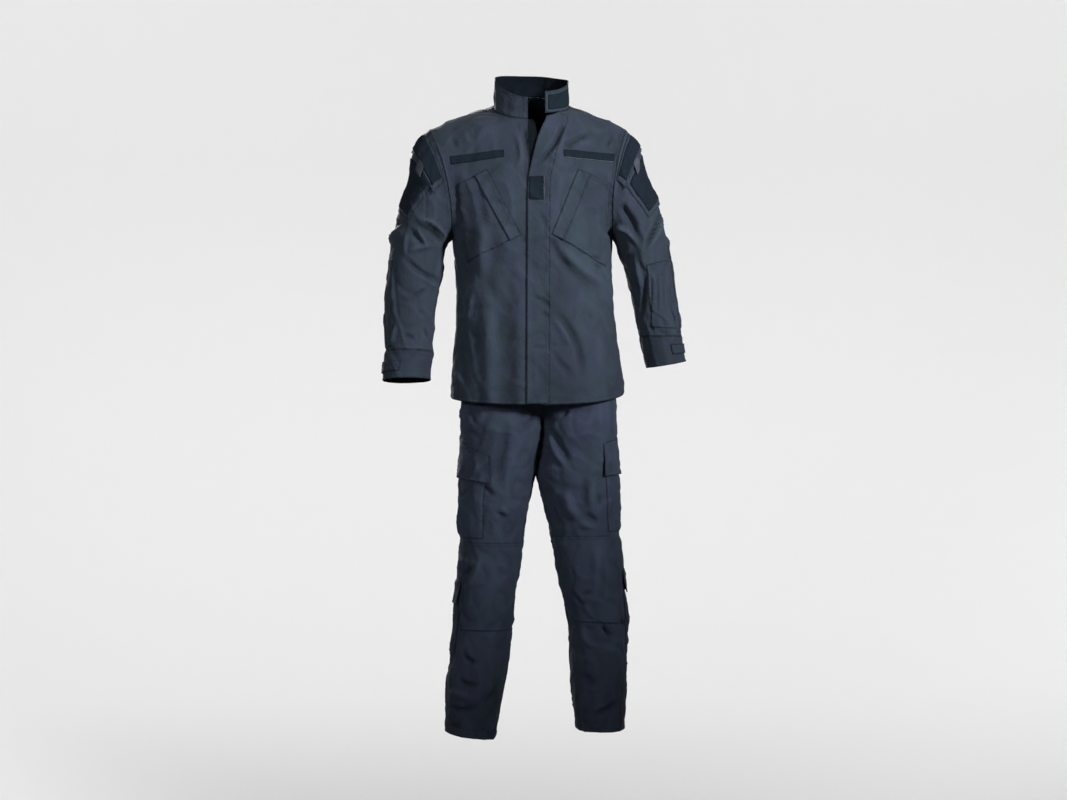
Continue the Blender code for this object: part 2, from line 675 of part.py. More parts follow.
FRONT_PATCHES = (
    Patch("chest_pocket_right", FRONT, ((-0.125, -0.150), (-0.045, -0.303), (-0.160, -0.358), (-0.185, -0.178)),
          ON_PANEL, ON_CURVE + ON_PANEL, 0.0020, 4, 5, WALL, JACKET_CLOTH),
    Patch("chest_pocket_left", FRONT, ((0.115, -0.146), (0.052, -0.301), (0.163, -0.366), (0.175, -0.173)),
          ON_PANEL, ON_CURVE + ON_PANEL, 0.0020, 4, 5, WALL, JACKET_CLOTH),
    Patch("chest_flap_right", FRONT, ((-0.111, -0.140), (-0.030, -0.296), (-0.057, -0.309), (-0.139, -0.157)),
          ON_PANEL, OVER_BAG, 0.0, 2, 5, WALL, JACKET_CLOTH),
    Patch("chest_flap_left", FRONT, ((0.100, -0.140), (0.038, -0.294), (0.066, -0.308), (0.130, -0.152)),
          ON_PANEL, OVER_BAG, 0.0, 2, 5, WALL, JACKET_CLOTH),
    Patch("name_tape_right", FRONT, ((-0.072, -0.095), (-0.072, -0.113), (-0.196, -0.130), (-0.198, -0.110)),
          ON_PANEL, ROUND_SIDE, 0.0, 6, 1, TAPE_WALL, LOOP_FIELD),
    Patch("name_tape_left", FRONT, ((0.066, -0.095), (0.067, -0.114), (0.184, -0.123), (0.186, -0.103)),
          ON_PANEL, ROUND_SIDE, 0.0, 6, 1, TAPE_WALL, LOOP_FIELD),
    Patch("rank_loop", FRONT, ((-0.014, -0.160), (-0.014, -0.214), (0.021, -0.214), (0.021, -0.160)),
          0.0074, 0.0048, 0.0, 2, 2, TAPE_WALL, LOOP_FIELD),
)


SLEEVE_PATCHES = (
    Patch("sleeve_pocket_right", RIGHT_ARM, ((0.045, -70), (0.045, 84), (0.210, 58), (0.200, -60)),
          ON_CURVE, ON_CURVE, 0.0025, 3, 8, WALL, JACKET_CLOTH),
    Patch("sleeve_pocket_left", LEFT_ARM, ((0.045, -70), (0.045, 84), (0.213, 64), (0.205, -60)),
          ON_CURVE, ON_CURVE, 0.0025, 3, 8, WALL, JACKET_CLOTH),
    Patch("sleeve_flap_right", RIGHT_ARM, ((0.012, -73), (0.010, 88), (0.072, 88), (0.066, -73)),
          0.0030, 0.0070, 0.0, 2, 8, WALL, JACKET_CLOTH),
    Patch("sleeve_flap_left", LEFT_ARM, ((0.012, -73), (0.010, 86), (0.062, 86), (0.070, -73)),
          0.0030, 0.0070, 0.0, 2, 8, WALL, JACKET_CLOTH),
    Patch("flap_loop_right", RIGHT_ARM, ((0.019, -60), (0.017, 82), (0.064, 82), (0.060, -60)),
          0.0066, 0.0094, 0.0, 2, 8, TAPE_WALL, LOOP_FIELD),
    Patch("flap_loop_left", LEFT_ARM, ((0.019, -60), (0.017, 80), (0.055, 80), (0.062, -60)),
          0.0066, 0.0094, 0.0, 2, 8, TAPE_WALL, LOOP_FIELD),
    Patch("pocket_loop_right", RIGHT_ARM, ((0.080, -45), (0.080, 72), (0.198, 52), (0.190, -40)),
          0.0073, 0.0058, 0.0010, 3, 7, TAPE_WALL, LOOP_FIELD),
    Patch("pocket_loop_left", LEFT_ARM, ((0.080, -45), (0.076, 74), (0.200, 58), (0.192, -40)),
          0.0075, 0.0060, 0.0010, 3, 7, TAPE_WALL, LOOP_FIELD),
    Patch("pull_tab_right", RIGHT_ARM, ((0.056, 43), (0.056, 60), (0.088, 60), (0.088, 43)),
          0.0118, 0.0132, 0.0, 1, 1, TAPE_WALL, PULL_TAPE),
    Patch("pull_tab_left", LEFT_ARM, ((0.052, 43), (0.052, 58), (0.088, 58), (0.088, 43)),
          0.0118, 0.0132, 0.0, 1, 1, TAPE_WALL, PULL_TAPE),
    Patch("elbow_patch_right", RIGHT_ARM, ((0.318, 34), (0.532, 58), (0.532, -105), (0.318, -105)),
          ON_CURVE, ON_CURVE, 0.0010, 9, 3, WALL, JACKET_CLOTH),
    Patch("elbow_patch_left", LEFT_ARM, ((0.300, 15), (0.504, 26), (0.504, -105), (0.300, -105)),
          ON_CURVE, ON_CURVE, 0.0010, 8, 3, WALL, JACKET_CLOTH),
    Patch("pen_pocket", LEFT_ARM, ((0.322, 98), (0.490, 114), (0.495, 40), (0.335, 24)),
          ON_CURVE, ON_CURVE, 0.0010, 4, 2, WALL, JACKET_CLOTH),
    Patch("cuff_tab_right", RIGHT_ARM, ((0.566, 76), (0.592, 76), (0.592, -20), (0.566, -20)),
          0.0030, 0.0060, 0.0, 5, 1, WALL, JACKET_CLOTH),
    Patch("cuff_tab_left", LEFT_ARM, ((0.532, 66), (0.558, 66), (0.558, -20), (0.532, -20)),
          0.0030, 0.0060, 0.0, 5, 1, WALL, JACKET_CLOTH),
)

LEG_PATCHES = (
    Patch("cargo_pocket_right", RIGHT_TROUSER, ((-0.810, -60), (-0.828, 72), (-1.000, 79), (-1.000, -60)),
          UNDER_CARGO, UNDER_CARGO, 0.0080, 3, 7, WALL, TROUSER_CLOTH),
    Patch("cargo_pocket_left", LEFT_TROUSER, ((-0.810, -72), (-0.815, 46), (-0.985, 49), (-0.985, -72)),
          UNDER_CARGO, UNDER_CARGO, 0.0080, 3, 7, WALL, TROUSER_CLOTH),
    Patch("cargo_flap_right", RIGHT_TROUSER, ((-0.725, -63), (-0.806, 79), (-0.870, 81), (-0.845, -63)),
          0.0042, 0.0115, 0.0, 2, 7, WALL, TROUSER_CLOTH),
    Patch("cargo_flap_left", LEFT_TROUSER, ((-0.745, -75), (-0.776, 55), (-0.854, 52), (-0.845, -75)),
          ON_CURVE, 0.0105, 0.0, 2, 7, WALL, TROUSER_CLOTH),
    Patch("knee_patch_right", RIGHT_TROUSER, ((-1.008, 36), (-1.214, 42), (-1.216, 172), (-1.010, 168)),
          ON_CURVE, ON_CURVE, 0.0010, 7, 3, WALL, TROUSER_CLOTH),
    Patch("knee_patch_left", LEFT_TROUSER, ((-0.992, 46), (-1.200, 26), (-1.190, 162), (-0.994, 162)),
          ON_CURVE, ON_CURVE, 0.0010, 7, 3, WALL, TROUSER_CLOTH),
    Patch("calf_pocket_right", RIGHT_TROUSER, ((-1.130, -58), (-1.132, 33), (-1.278, 33), (-1.278, -58)),
          ON_CURVE, ON_CURVE, 0.0050, 3, 5, WALL, TROUSER_CLOTH),
    Patch("calf_pocket_left", LEFT_TROUSER, ((-1.105, -70), (-1.105, 20), (-1.252, 20), (-1.252, -70)),
          ON_CURVE, ON_CURVE, 0.0050, 3, 5, WALL, TROUSER_CLOTH),
    Patch("calf_flap_right", RIGHT_TROUSER, ((-1.100, -60), (-1.102, 34), (-1.155, 34), (-1.152, -60)),
          ON_CURVE, 0.0085, 0.0, 1, 5, WALL, TROUSER_CLOTH),
    Patch("calf_flap_left", LEFT_TROUSER, ((-1.074, -72), (-1.074, 21), (-1.128, 21), (-1.126, -72)),
          ON_CURVE, 0.0085, 0.0, 1, 5, WALL, TROUSER_CLOTH),
    Patch("fly", LEFT_TROUSER, ((-0.475, 176), (-0.684, 176), (-0.670, 152), (-0.475, 152)),
          0.0030, 0.0030, 0.0, 2, 6, WALL, TROUSER_CLOTH),
)


@dataclass(frozen=True)
class CollarSide:
    """Outer face of the collar. Places are a share of its height, and degrees round the neck."""

    def point(self, height: float, turn: float) -> Vector:
        """Point of the collar's outer face."""
        base = neck_ring(turn if turn <= 180 else turn - 360)
        scale = mix(1, COLLAR_TAPER, height)
        rise = mix(COLLAR_GAP, COLLAR_HEIGHT, height)
        return Vector((NECK_X + (base.x - NECK_X) * scale, base.y * scale, base.z + rise))

    def inside(self, height: float, turn: float) -> Vector:
        """Middle of the neck at this height."""
        return Vector((NECK_X, 0, self.point(height, turn).z))


COLLAR = CollarSide()
COLLAR_LOOP = Patch("collar_loop", COLLAR, ((0.12, 26), (0.12, 86), (0.82, 86), (0.82, 26)),
                    ON_CURVE, ON_CURVE, 0.0, 1, 4, TAPE_WALL, LOOP_FIELD)


def make_collar():
    """Stand collar on the neck ring, open in front."""
    left_end = neck_turn(CLOSURE[-2].flap_edge + STEP)
    turns = [left_end] + spread(LEFT_OPENING, 90, 4)
    turns += spread(90, 270, 8)[1:] + spread(270, 360 + RIGHT_OPENING, 4)[1:]
    grid = [[COLLAR.point(height, turn) for turn in turns] for height in spread(0, 1, 2)]
    grid_wall("collar", grid, Vector((NECK_X, 0, COLLAR_HEIGHT / 2)), DOUBLED, JACKET_CLOTH)


def main():
    """Clears the scene and makes every node."""
    for thing in list(bpy.data.objects):
        bpy.data.objects.remove(thing)
    for side in (-1, 1):
        make_front(side)
    make_back()
    make_closure()
    make_slider()
    make_collar()
    make_sleeve("right", RIGHT_ARM, RIGHT_CUFF_SEAM, RIGHT_CUFF_END)
    make_sleeve("left", LEFT_ARM, LEFT_CUFF_SEAM, LEFT_CUFF_END)
    make_trouser_panels()
    make_waistband()
    for patch in FRONT_PATCHES + SLEEVE_PATCHES + LEG_PATCHES + (COLLAR_LOOP,):
        patch.make()


main()
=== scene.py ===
"""Looks of a combat uniform: thin creased cloth with its seams, stitches, loop fields and zip.

Metres, +Z up, the front faces -Y and the wearer's left is +X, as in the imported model. Each cloth piece is a
fine grid on one of the garment's surfaces: body, sleeve, leg or collar. Folds move a surface and everything
that is sewn on it together, so the layers stay on each other.
"""

import logging
import math
from dataclasses import dataclass, replace
from enum import Enum
from typing import Callable, NamedTuple

import bmesh
import bpy
import numpy as np
from bpy.types import ID, Material, Node, NodeSocket, NodeTree, Object
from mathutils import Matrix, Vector

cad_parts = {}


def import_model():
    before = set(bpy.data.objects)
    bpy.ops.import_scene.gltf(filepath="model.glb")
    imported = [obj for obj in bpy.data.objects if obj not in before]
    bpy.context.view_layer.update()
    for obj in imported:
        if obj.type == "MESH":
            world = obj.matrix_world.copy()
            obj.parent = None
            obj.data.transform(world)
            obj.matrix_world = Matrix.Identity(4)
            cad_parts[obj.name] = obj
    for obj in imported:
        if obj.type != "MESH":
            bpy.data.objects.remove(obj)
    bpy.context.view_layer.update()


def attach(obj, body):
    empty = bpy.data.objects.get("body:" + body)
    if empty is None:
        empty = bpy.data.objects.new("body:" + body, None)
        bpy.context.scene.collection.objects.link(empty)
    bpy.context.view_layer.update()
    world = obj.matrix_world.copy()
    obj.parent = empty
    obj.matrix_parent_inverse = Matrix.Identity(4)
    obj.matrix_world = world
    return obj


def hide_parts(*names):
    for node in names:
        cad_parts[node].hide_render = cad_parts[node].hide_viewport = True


LOG = logging.getLogger("uniform")
Array = np.ndarray
Number = float | np.ndarray

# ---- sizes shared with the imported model

WALL = 0.0012
DOUBLED = 0.0022
TAPE_WALL = 0.0010

UNDERARM = 6
CHEST = 10
NECK = 14
SHOULDER = 18
UNDERARM_Z = -0.300
HEM_FRONT_Z = -0.688
HEM_BACK_Z = -0.680
HEM_RIGHT_Z = -0.669
HEM_LEFT_Z = -0.656
SQUARENESS = 0.88
ARM_ANGLE = 62
SHOULDER_ARCH = 0.005
FRONT_CENTRE = 0.1

NECK_X = -0.008
NECK_HALF = 0.0885
NECK_FRONT = 0.078
NECK_BACK = 0.075
NECK_SIDE_Z = 0.012
NECK_DROP_RIGHT = 0.034
NECK_DROP_LEFT = 0.021
NECK_RISE = 0.033
COLLAR_HEIGHT = 0.051
COLLAR_LEFT_RISE = 0.011
COLLAR_RIGHT_RISE = 0.016
COLLAR_TAPER = 0.99
COLLAR_GAP = 0.0008

PLACKET_WIDTH = 0.053
ZIP_TEETH_X = 0.0030
SLIDER_Z = -0.165
WAIST_Z = -0.430
WAISTBAND_Z = -0.468


def listed(kind: type, *values: tuple) -> tuple:
    """A table: each row of values as a NamedTuple of this kind."""
    return tuple(kind(*value) for value in values)


class BodyRow(NamedTuple):
    """A level section of the jacket's body."""

    z: float
    centre: float
    half: float
    front: float
    back: float


BODY = listed(
    BodyRow,
    (-0.69, 0.008, 0.208, 0.146, 0.142),
    (-0.63, 0.007, 0.203, 0.143, 0.136),
    (-0.555, 0.005, 0.1935, 0.139, 0.127),
    (-0.498, 0.003, 0.1885, 0.136, 0.12),
    (-0.441, 0.001, 0.185, 0.134, 0.117),
    (-0.385, -0.002, 0.184, 0.133, 0.121),
    (-0.3, -0.006, 0.189, 0.132, 0.132),
    (-0.2, -0.006, 0.19, 0.125, 0.138),
    (-0.1, -0.009, 0.2, 0.103, 0.128),
    (-0.022, -0.008, 0.2, 0.078, 0.108),
    (0.045, -0.008, 0.2, 0.078, 0.075),
)


class SleeveRow(NamedTuple):
    """A ring round a sleeve: its outer and inner points seen from the front, and its depth."""

    down: float
    outer_x: float
    outer_z: float
    inner_x: float
    inner_z: float
    depth: float
    middle_y: float = 0.0
    bow: float = 0.0
    pitch: float = 0.0


RIGHT_SLEEVE = listed(
    SleeveRow,
    (0, -0.25, -0.04, -0.195, -0.3, 0.086, 0, 0.018),
    (0.05, -0.28, -0.078, -0.199, -0.303, 0.087, 0, 0.012),
    (0.12, -0.294, -0.15, -0.206, -0.308, 0.086, 0, 0.006),
    (0.2, -0.318, -0.23, -0.211, -0.318, 0.083, 0, 0.002),
    (0.275, -0.34, -0.305, -0.214, -0.34, 0.08),
    (0.34, -0.346, -0.368, -0.217, -0.38, 0.076, 0, 0, 0.001),
    (0.405, -0.352, -0.432, -0.232, -0.436, 0.072, -0.002, 0, 0.002),
    (0.465, -0.354, -0.49, -0.239, -0.492, 0.069, -0.006, 0, 0.003),
    (0.54, -0.352, -0.563, -0.241, -0.565, 0.064, -0.013, 0, 0.005),
    (0.612, -0.359, -0.634, -0.246, -0.632, 0.062, -0.02, 0, 0.006),
)
LEFT_SLEEVE = listed(
    SleeveRow,
    (0, 0.215, -0.04, 0.183, -0.3, 0.086, 0, 0.015),
    (0.05, 0.242, -0.075, 0.187, -0.305, 0.087, 0, 0.01),
    (0.12, 0.259, -0.14, 0.19, -0.315, 0.086, 0, 0.005),
    (0.19, 0.285, -0.2, 0.193, -0.327, 0.083, 0, 0.002),
    (0.265, 0.308, -0.275, 0.203, -0.35, 0.08),
    (0.335, 0.321, -0.348, 0.217, -0.39, 0.076, -0.002),
    (0.41, 0.331, -0.422, 0.228, -0.44, 0.071, -0.006),
    (0.47, 0.338, -0.485, 0.24, -0.492, 0.067, -0.012),
    (0.512, 0.342, -0.527, 0.246, -0.529, 0.063, -0.018),
    (0.583, 0.353, -0.588, 0.262, -0.604, 0.061, -0.026, 0, -0.002),
)


class LegRow(NamedTuple):
    """A level section of one trouser leg. Rise is 0 in the leg and 1 in the hips."""

    z: float
    inner: float
    outer: float
    front: float
    back: float
    rise: float = 0.0
    tilt: float = 0.0


RIGHT_LEG = listed(
    LegRow,
    (-1.465, -0.094, -0.212, 0.08, 0.084, 0, 0.009),
    (-1.4, -0.082, -0.212, 0.082, 0.086, 0, 0.006),
    (-1.34, -0.07, -0.21, 0.084, 0.089),
    (-1.28, -0.061, -0.198, 0.086, 0.092),
    (-1.2, -0.051, -0.19, 0.088, 0.093),
    (-1.13, -0.046, -0.186, 0.09, 0.092),
    (-1.055, -0.034, -0.182, 0.092, 0.092),
    (-0.975, -0.024, -0.176, 0.096, 0.097),
    (-0.88, -0.006, -0.174, 0.103, 0.106),
    (-0.85, 0.002, -0.174, 0.105, 0.109),
    (-0.8, 0.0122, -0.174, 0.109, 0.115),
    (-0.745, 0.0203, -0.175, 0.113, 0.123),
    (-0.715, 0.0198, -0.176, 0.115, 0.127, 0.36),
    (-0.68, 0.0202, -0.175, 0.116, 0.13, 0.72),
    (-0.63, 0.0202, -0.172, 0.115, 0.13, 1),
    (-0.54, 0.0174, -0.161, 0.108, 0.122, 1),
    (-0.43, 0.0134, -0.146, 0.098, 0.106, 1),
)
LEFT_LEG = listed(
    LegRow,
    (-1.452, 0.099, 0.21, 0.078, 0.082),
    (-1.39, 0.09, 0.213, 0.081, 0.085),
    (-1.34, 0.086, 0.216, 0.083, 0.088),
    (-1.28, 0.084, 0.216, 0.086, 0.091),
    (-1.205, 0.078, 0.216, 0.088, 0.093),
    (-1.13, 0.061, 0.212, 0.09, 0.093),
    (-1.055, 0.046, 0.209, 0.092, 0.093),
    (-0.98, 0.032, 0.197, 0.096, 0.098),
    (-0.88, 0.009, 0.192, 0.104, 0.107),
    (-0.85, 0.0014, 0.191, 0.106, 0.11),
    (-0.8, 0.01, 0.191, 0.109, 0.115),
    (-0.745, 0.018, 0.191, 0.113, 0.123),
    (-0.715, 0.0182, 0.191, 0.115, 0.127, 0.36),
    (-0.68, 0.0182, 0.191, 0.116, 0.13, 0.72),
    (-0.63, 0.0182, 0.187, 0.115, 0.13, 1),
    (-0.54, 0.0171, 0.174, 0.108, 0.122, 1),
    (-0.43, 0.0131, 0.156, 0.098, 0.106, 1),
)


class ClosureRow(NamedTuple):
    """Where the front closure's edges lie at one height."""

    z: float
    flap_edge: float
    right_front: float
    left_front: float
    left_teeth: float
    right_teeth: float = 0.0030


CLOSURE = listed(
    ClosureRow,
    (-0.7, -0.019, -0.01, 0.014, 0.0036),
    (-0.215, -0.0175, -0.01, 0.014, 0.0036),
    (-0.165, -0.016, -0.0105, 0.015, 0.004),
    (-0.132, -0.0105, -0.0125, 0.022, 0.01),
    (-0.097, -0.0025, -0.0145, 0.031, 0.018),
    (-0.066, 0.0055, -0.016, 0.04, 0.027),
    (-0.037, 0.016, -0.0165, 0.05, 0.037, 0),
    (-0.02, 0.023, -0.0165, 0.056, 0.043, -0.0085),
    (0.02, 0.028, -0.0165, 0.06, 0.047, -0.015),
)


# ---- small sums

def mix(start: Number, end: Number, part: Number) -> Number:
    """Value part of the way from start to end, for numbers and arrays.

    Args:
        start: Value at part 0.
        end: Value at part 1.
        part: Share of the way.

    Returns:
        The value there.
    """
    return start + (end - start) * part


def spots(x: Array, y: Array, z: Array) -> Array:
    """Points from their coordinates."""
    return np.stack(np.broadcast_arrays(x, y, z), axis=-1)


def eased(value: Array) -> Array:
    """Value clamped to 0..1 with soft ends."""
    value = np.clip(value, 0, 1)
    return value * value * (3 - 2 * value)


def rounded(value: Array) -> Array:
    """Sine or cosine made squarer, keeping its sign."""
    return np.copysign(np.abs(value) ** SQUARENESS, value)


def unit(vectors: Array) -> Array:
    """Vectors scaled to length one."""
    return vectors / np.maximum(np.linalg.norm(vectors, axis=-1, keepdims=True), 1e-12)


def shown(name: str, data: ID) -> Object:
    """Puts an object in the scene.

    Args:
        name: Its name.
        data: Its mesh, light or camera.

    Returns:
        The object.
    """
    made = bpy.data.objects.new(name, data)
    bpy.context.scene.collection.objects.link(made)
    return made


class Table:
    """Rows of a short table joined by smooth curves that never overshoot them."""

    def __init__(self, rows: tuple) -> None:
        """Works out the curves' slopes.

        Args:
            rows: NamedTuples in rising order of their first column.
        """
        self.names = rows[0]._fields
        self.values = np.array(rows, float)
        self.places = self.values[:, 0]
        rises = np.diff(self.values, axis=0) / np.diff(self.places)[:, None]
        before, after = rises[:-1], rises[1:]
        total = before + after
        inner = np.where(before * after > 0, 2 * before * after / np.where(total == 0, 1, total), 0)
        self.slopes = np.vstack([rises[:1], inner, rises[-1:]])

    def at(self, place: Array) -> dict:
        """Every column at these places.

        Args:
            place: Values of the first column.

        Returns:
            Arrays by column name.
        """
        place = np.clip(place, self.places[0], self.places[-1])
        low = np.clip(np.searchsorted(self.places, place, side="right") - 1, 0, len(self.places) - 2)
        gap = self.places[low + 1] - self.places[low]
        part = ((place - self.places[low]) / gap)[..., None]
        start, end = self.values[low], self.values[low + 1]
        leave, arrive = self.slopes[low] * gap[..., None], self.slopes[low + 1] * gap[..., None]
        rise = end - start
        found = start + leave * part + (3 * rise - 2 * leave - arrive) * part ** 2
        found = found + (leave + arrive - 2 * rise) * part ** 3
        return {name: found[..., i] for i, name in enumerate(self.names)}


BODY_TABLE = Table(BODY)
CLOSURE_TABLE = Table(CLOSURE)


# ---- the garment's surfaces

class Surface:
    """A smooth surface whose places are two coordinates, named by each kind below."""

    steps = (0.0005, 0.1)

    def points(self, first: Array, second: Array) -> Array:
        """Points at these places."""
        raise NotImplementedError

    def middles(self, first: Array, second: Array) -> Array:
        """Middle of the hollow inside each place."""
        raise NotImplementedError

    def normals(self, first: Array, second: Array) -> Array:
        """Directions straight out of the surface.

        Args:
            first: First coordinates.
            second: Second coordinates.

        Returns:
            One direction for each place.
        """
        a, b = self.steps
        along = self.points(first + a, second) - self.points(first - a, second)
        across = self.points(first, second + b) - self.points(first, second - b)
        found = unit(np.cross(along, across))
        out = self.points(first, second) - self.middles(first, second)
        return found if np.sum(found * out) > 0 else -found


class Sleeve(Surface):
    """Places are metres down from the shoulder, and degrees round from the sleeve's outer line."""

    def __init__(self, rows: tuple, side: int, fullness: float = 1.0) -> None:
        """Takes the sleeve's rings.

        Args:
            rows: Its table of rings.
            side: 1 on the wearer's left, -1 on the right.
            fullness: Scale of each ring about its middle.
        """
        self.table, self.side, self.fullness = Table(rows), side, fullness

    def points(self, down: Array, turn: Array) -> Array:
        """Points of the sleeve.

        Args:
            down: Metres down from the shoulder.
            turn: Degrees: 0 is the outer line, 90 the front and 180 the underarm line.

        Returns:
            The points.
        """
        row = self.table.at(down)
        reach = self.fullness * np.cos(np.radians(turn))
        forward = self.fullness * np.sin(np.radians(turn))
        x = (row["outer_x"] + row["inner_x"] + (row["outer_x"] - row["inner_x"]) * reach) / 2
        z = (row["outer_z"] + row["inner_z"] + (row["outer_z"] - row["inner_z"]) * reach) / 2
        x = x - self.side * row["bow"] * forward ** 2
        return spots(x, row["middle_y"] - row["depth"] * forward, z + row["pitch"] * forward)

    def middles(self, down: Array, turn: Array) -> Array:
        """Middle of the sleeve's hollow."""
        return (self.points(down, turn * 0) + self.points(down, turn * 0 + 180)) / 2


class Leg(Surface):
    """Places are a height, and degrees round from the outer seam."""

    def __init__(self, rows: tuple) -> None:
        """Takes the leg's level sections."""
        self.table = Table(rows)

    def points(self, z: Array, turn: Array) -> Array:
        """Points of the leg.

        Args:
            z: Heights.
            turn: Degrees: 0 is the outer seam, 90 the front, 180 the inner seam and -90 the back.

        Returns:
            The points.
        """
        row = self.table.at(z)
        angle = np.radians(np.abs(turn))
        depth = np.where(turn > 0, -row["front"], row["back"])
        width = row["outer"] - row["inner"]
        lobe_x = (row["inner"] + row["outer"]) / 2 + width / 2 * rounded(np.cos(angle))
        hip_x = row["inner"] + width * rounded(np.cos(angle / 2))
        lobe_y = depth * rounded(np.sin(angle))
        hip_y = depth * rounded(np.sin(angle / 2))
        x, y = mix(lobe_x, hip_x, row["rise"]), mix(lobe_y, hip_y, row["rise"])
        return spots(x, y, row["z"] + row["tilt"] * np.cos(angle))

    def middles(self, z: Array, turn: Array) -> Array:
        """Middle of the leg, or of the hips.

        Args:
            z: Heights.
            turn: Degrees, which make no difference.

        Returns:
            The points.
        """
        row = self.table.at(z)
        x = mix((row["inner"] + row["outer"]) / 2, row["inner"], row["rise"])
        return spots(x, x * 0, row["z"])


RIGHT_ARM = Sleeve(RIGHT_SLEEVE, -1)
LEFT_ARM = Sleeve(LEFT_SLEEVE, 1)
RIGHT_TROUSER = Leg(RIGHT_LEG)
LEFT_TROUSER = Leg(LEFT_LEG)


def neck_ring(turn: Array) -> Array:
    """Points of the neckline seam.

    Args:
        turn: Degrees: 0 is the front, 90 the wearer's left and 180 the back.

    Returns:
        The points.
    """
    angle = np.radians(turn)
    forward, sideways = np.cos(angle), np.sin(angle)
    drop = np.where(sideways > 0, NECK_DROP_LEFT, NECK_DROP_RIGHT)
    y = -np.where(forward < 0, NECK_BACK, NECK_FRONT) * forward
    z = NECK_SIDE_Z - np.where(forward < 0, NECK_RISE, drop) * forward
    return spots(NECK_X + NECK_HALF * sideways, y, z)


def neck_turn(x: Array) -> Array:
    """Degrees round the front of the neck ring where it passes this x."""
    return np.degrees(np.arcsin(np.clip((x - NECK_X) / NECK_HALF, -1, 1)))


RIGHT_OPENING = float(neck_turn(CLOSURE[-2].right_front))
LEFT_OPENING = float(neck_turn(CLOSURE[-2].left_front))
COLLAR_END = float(neck_turn(CLOSURE[-2].flap_edge + 0.0005))


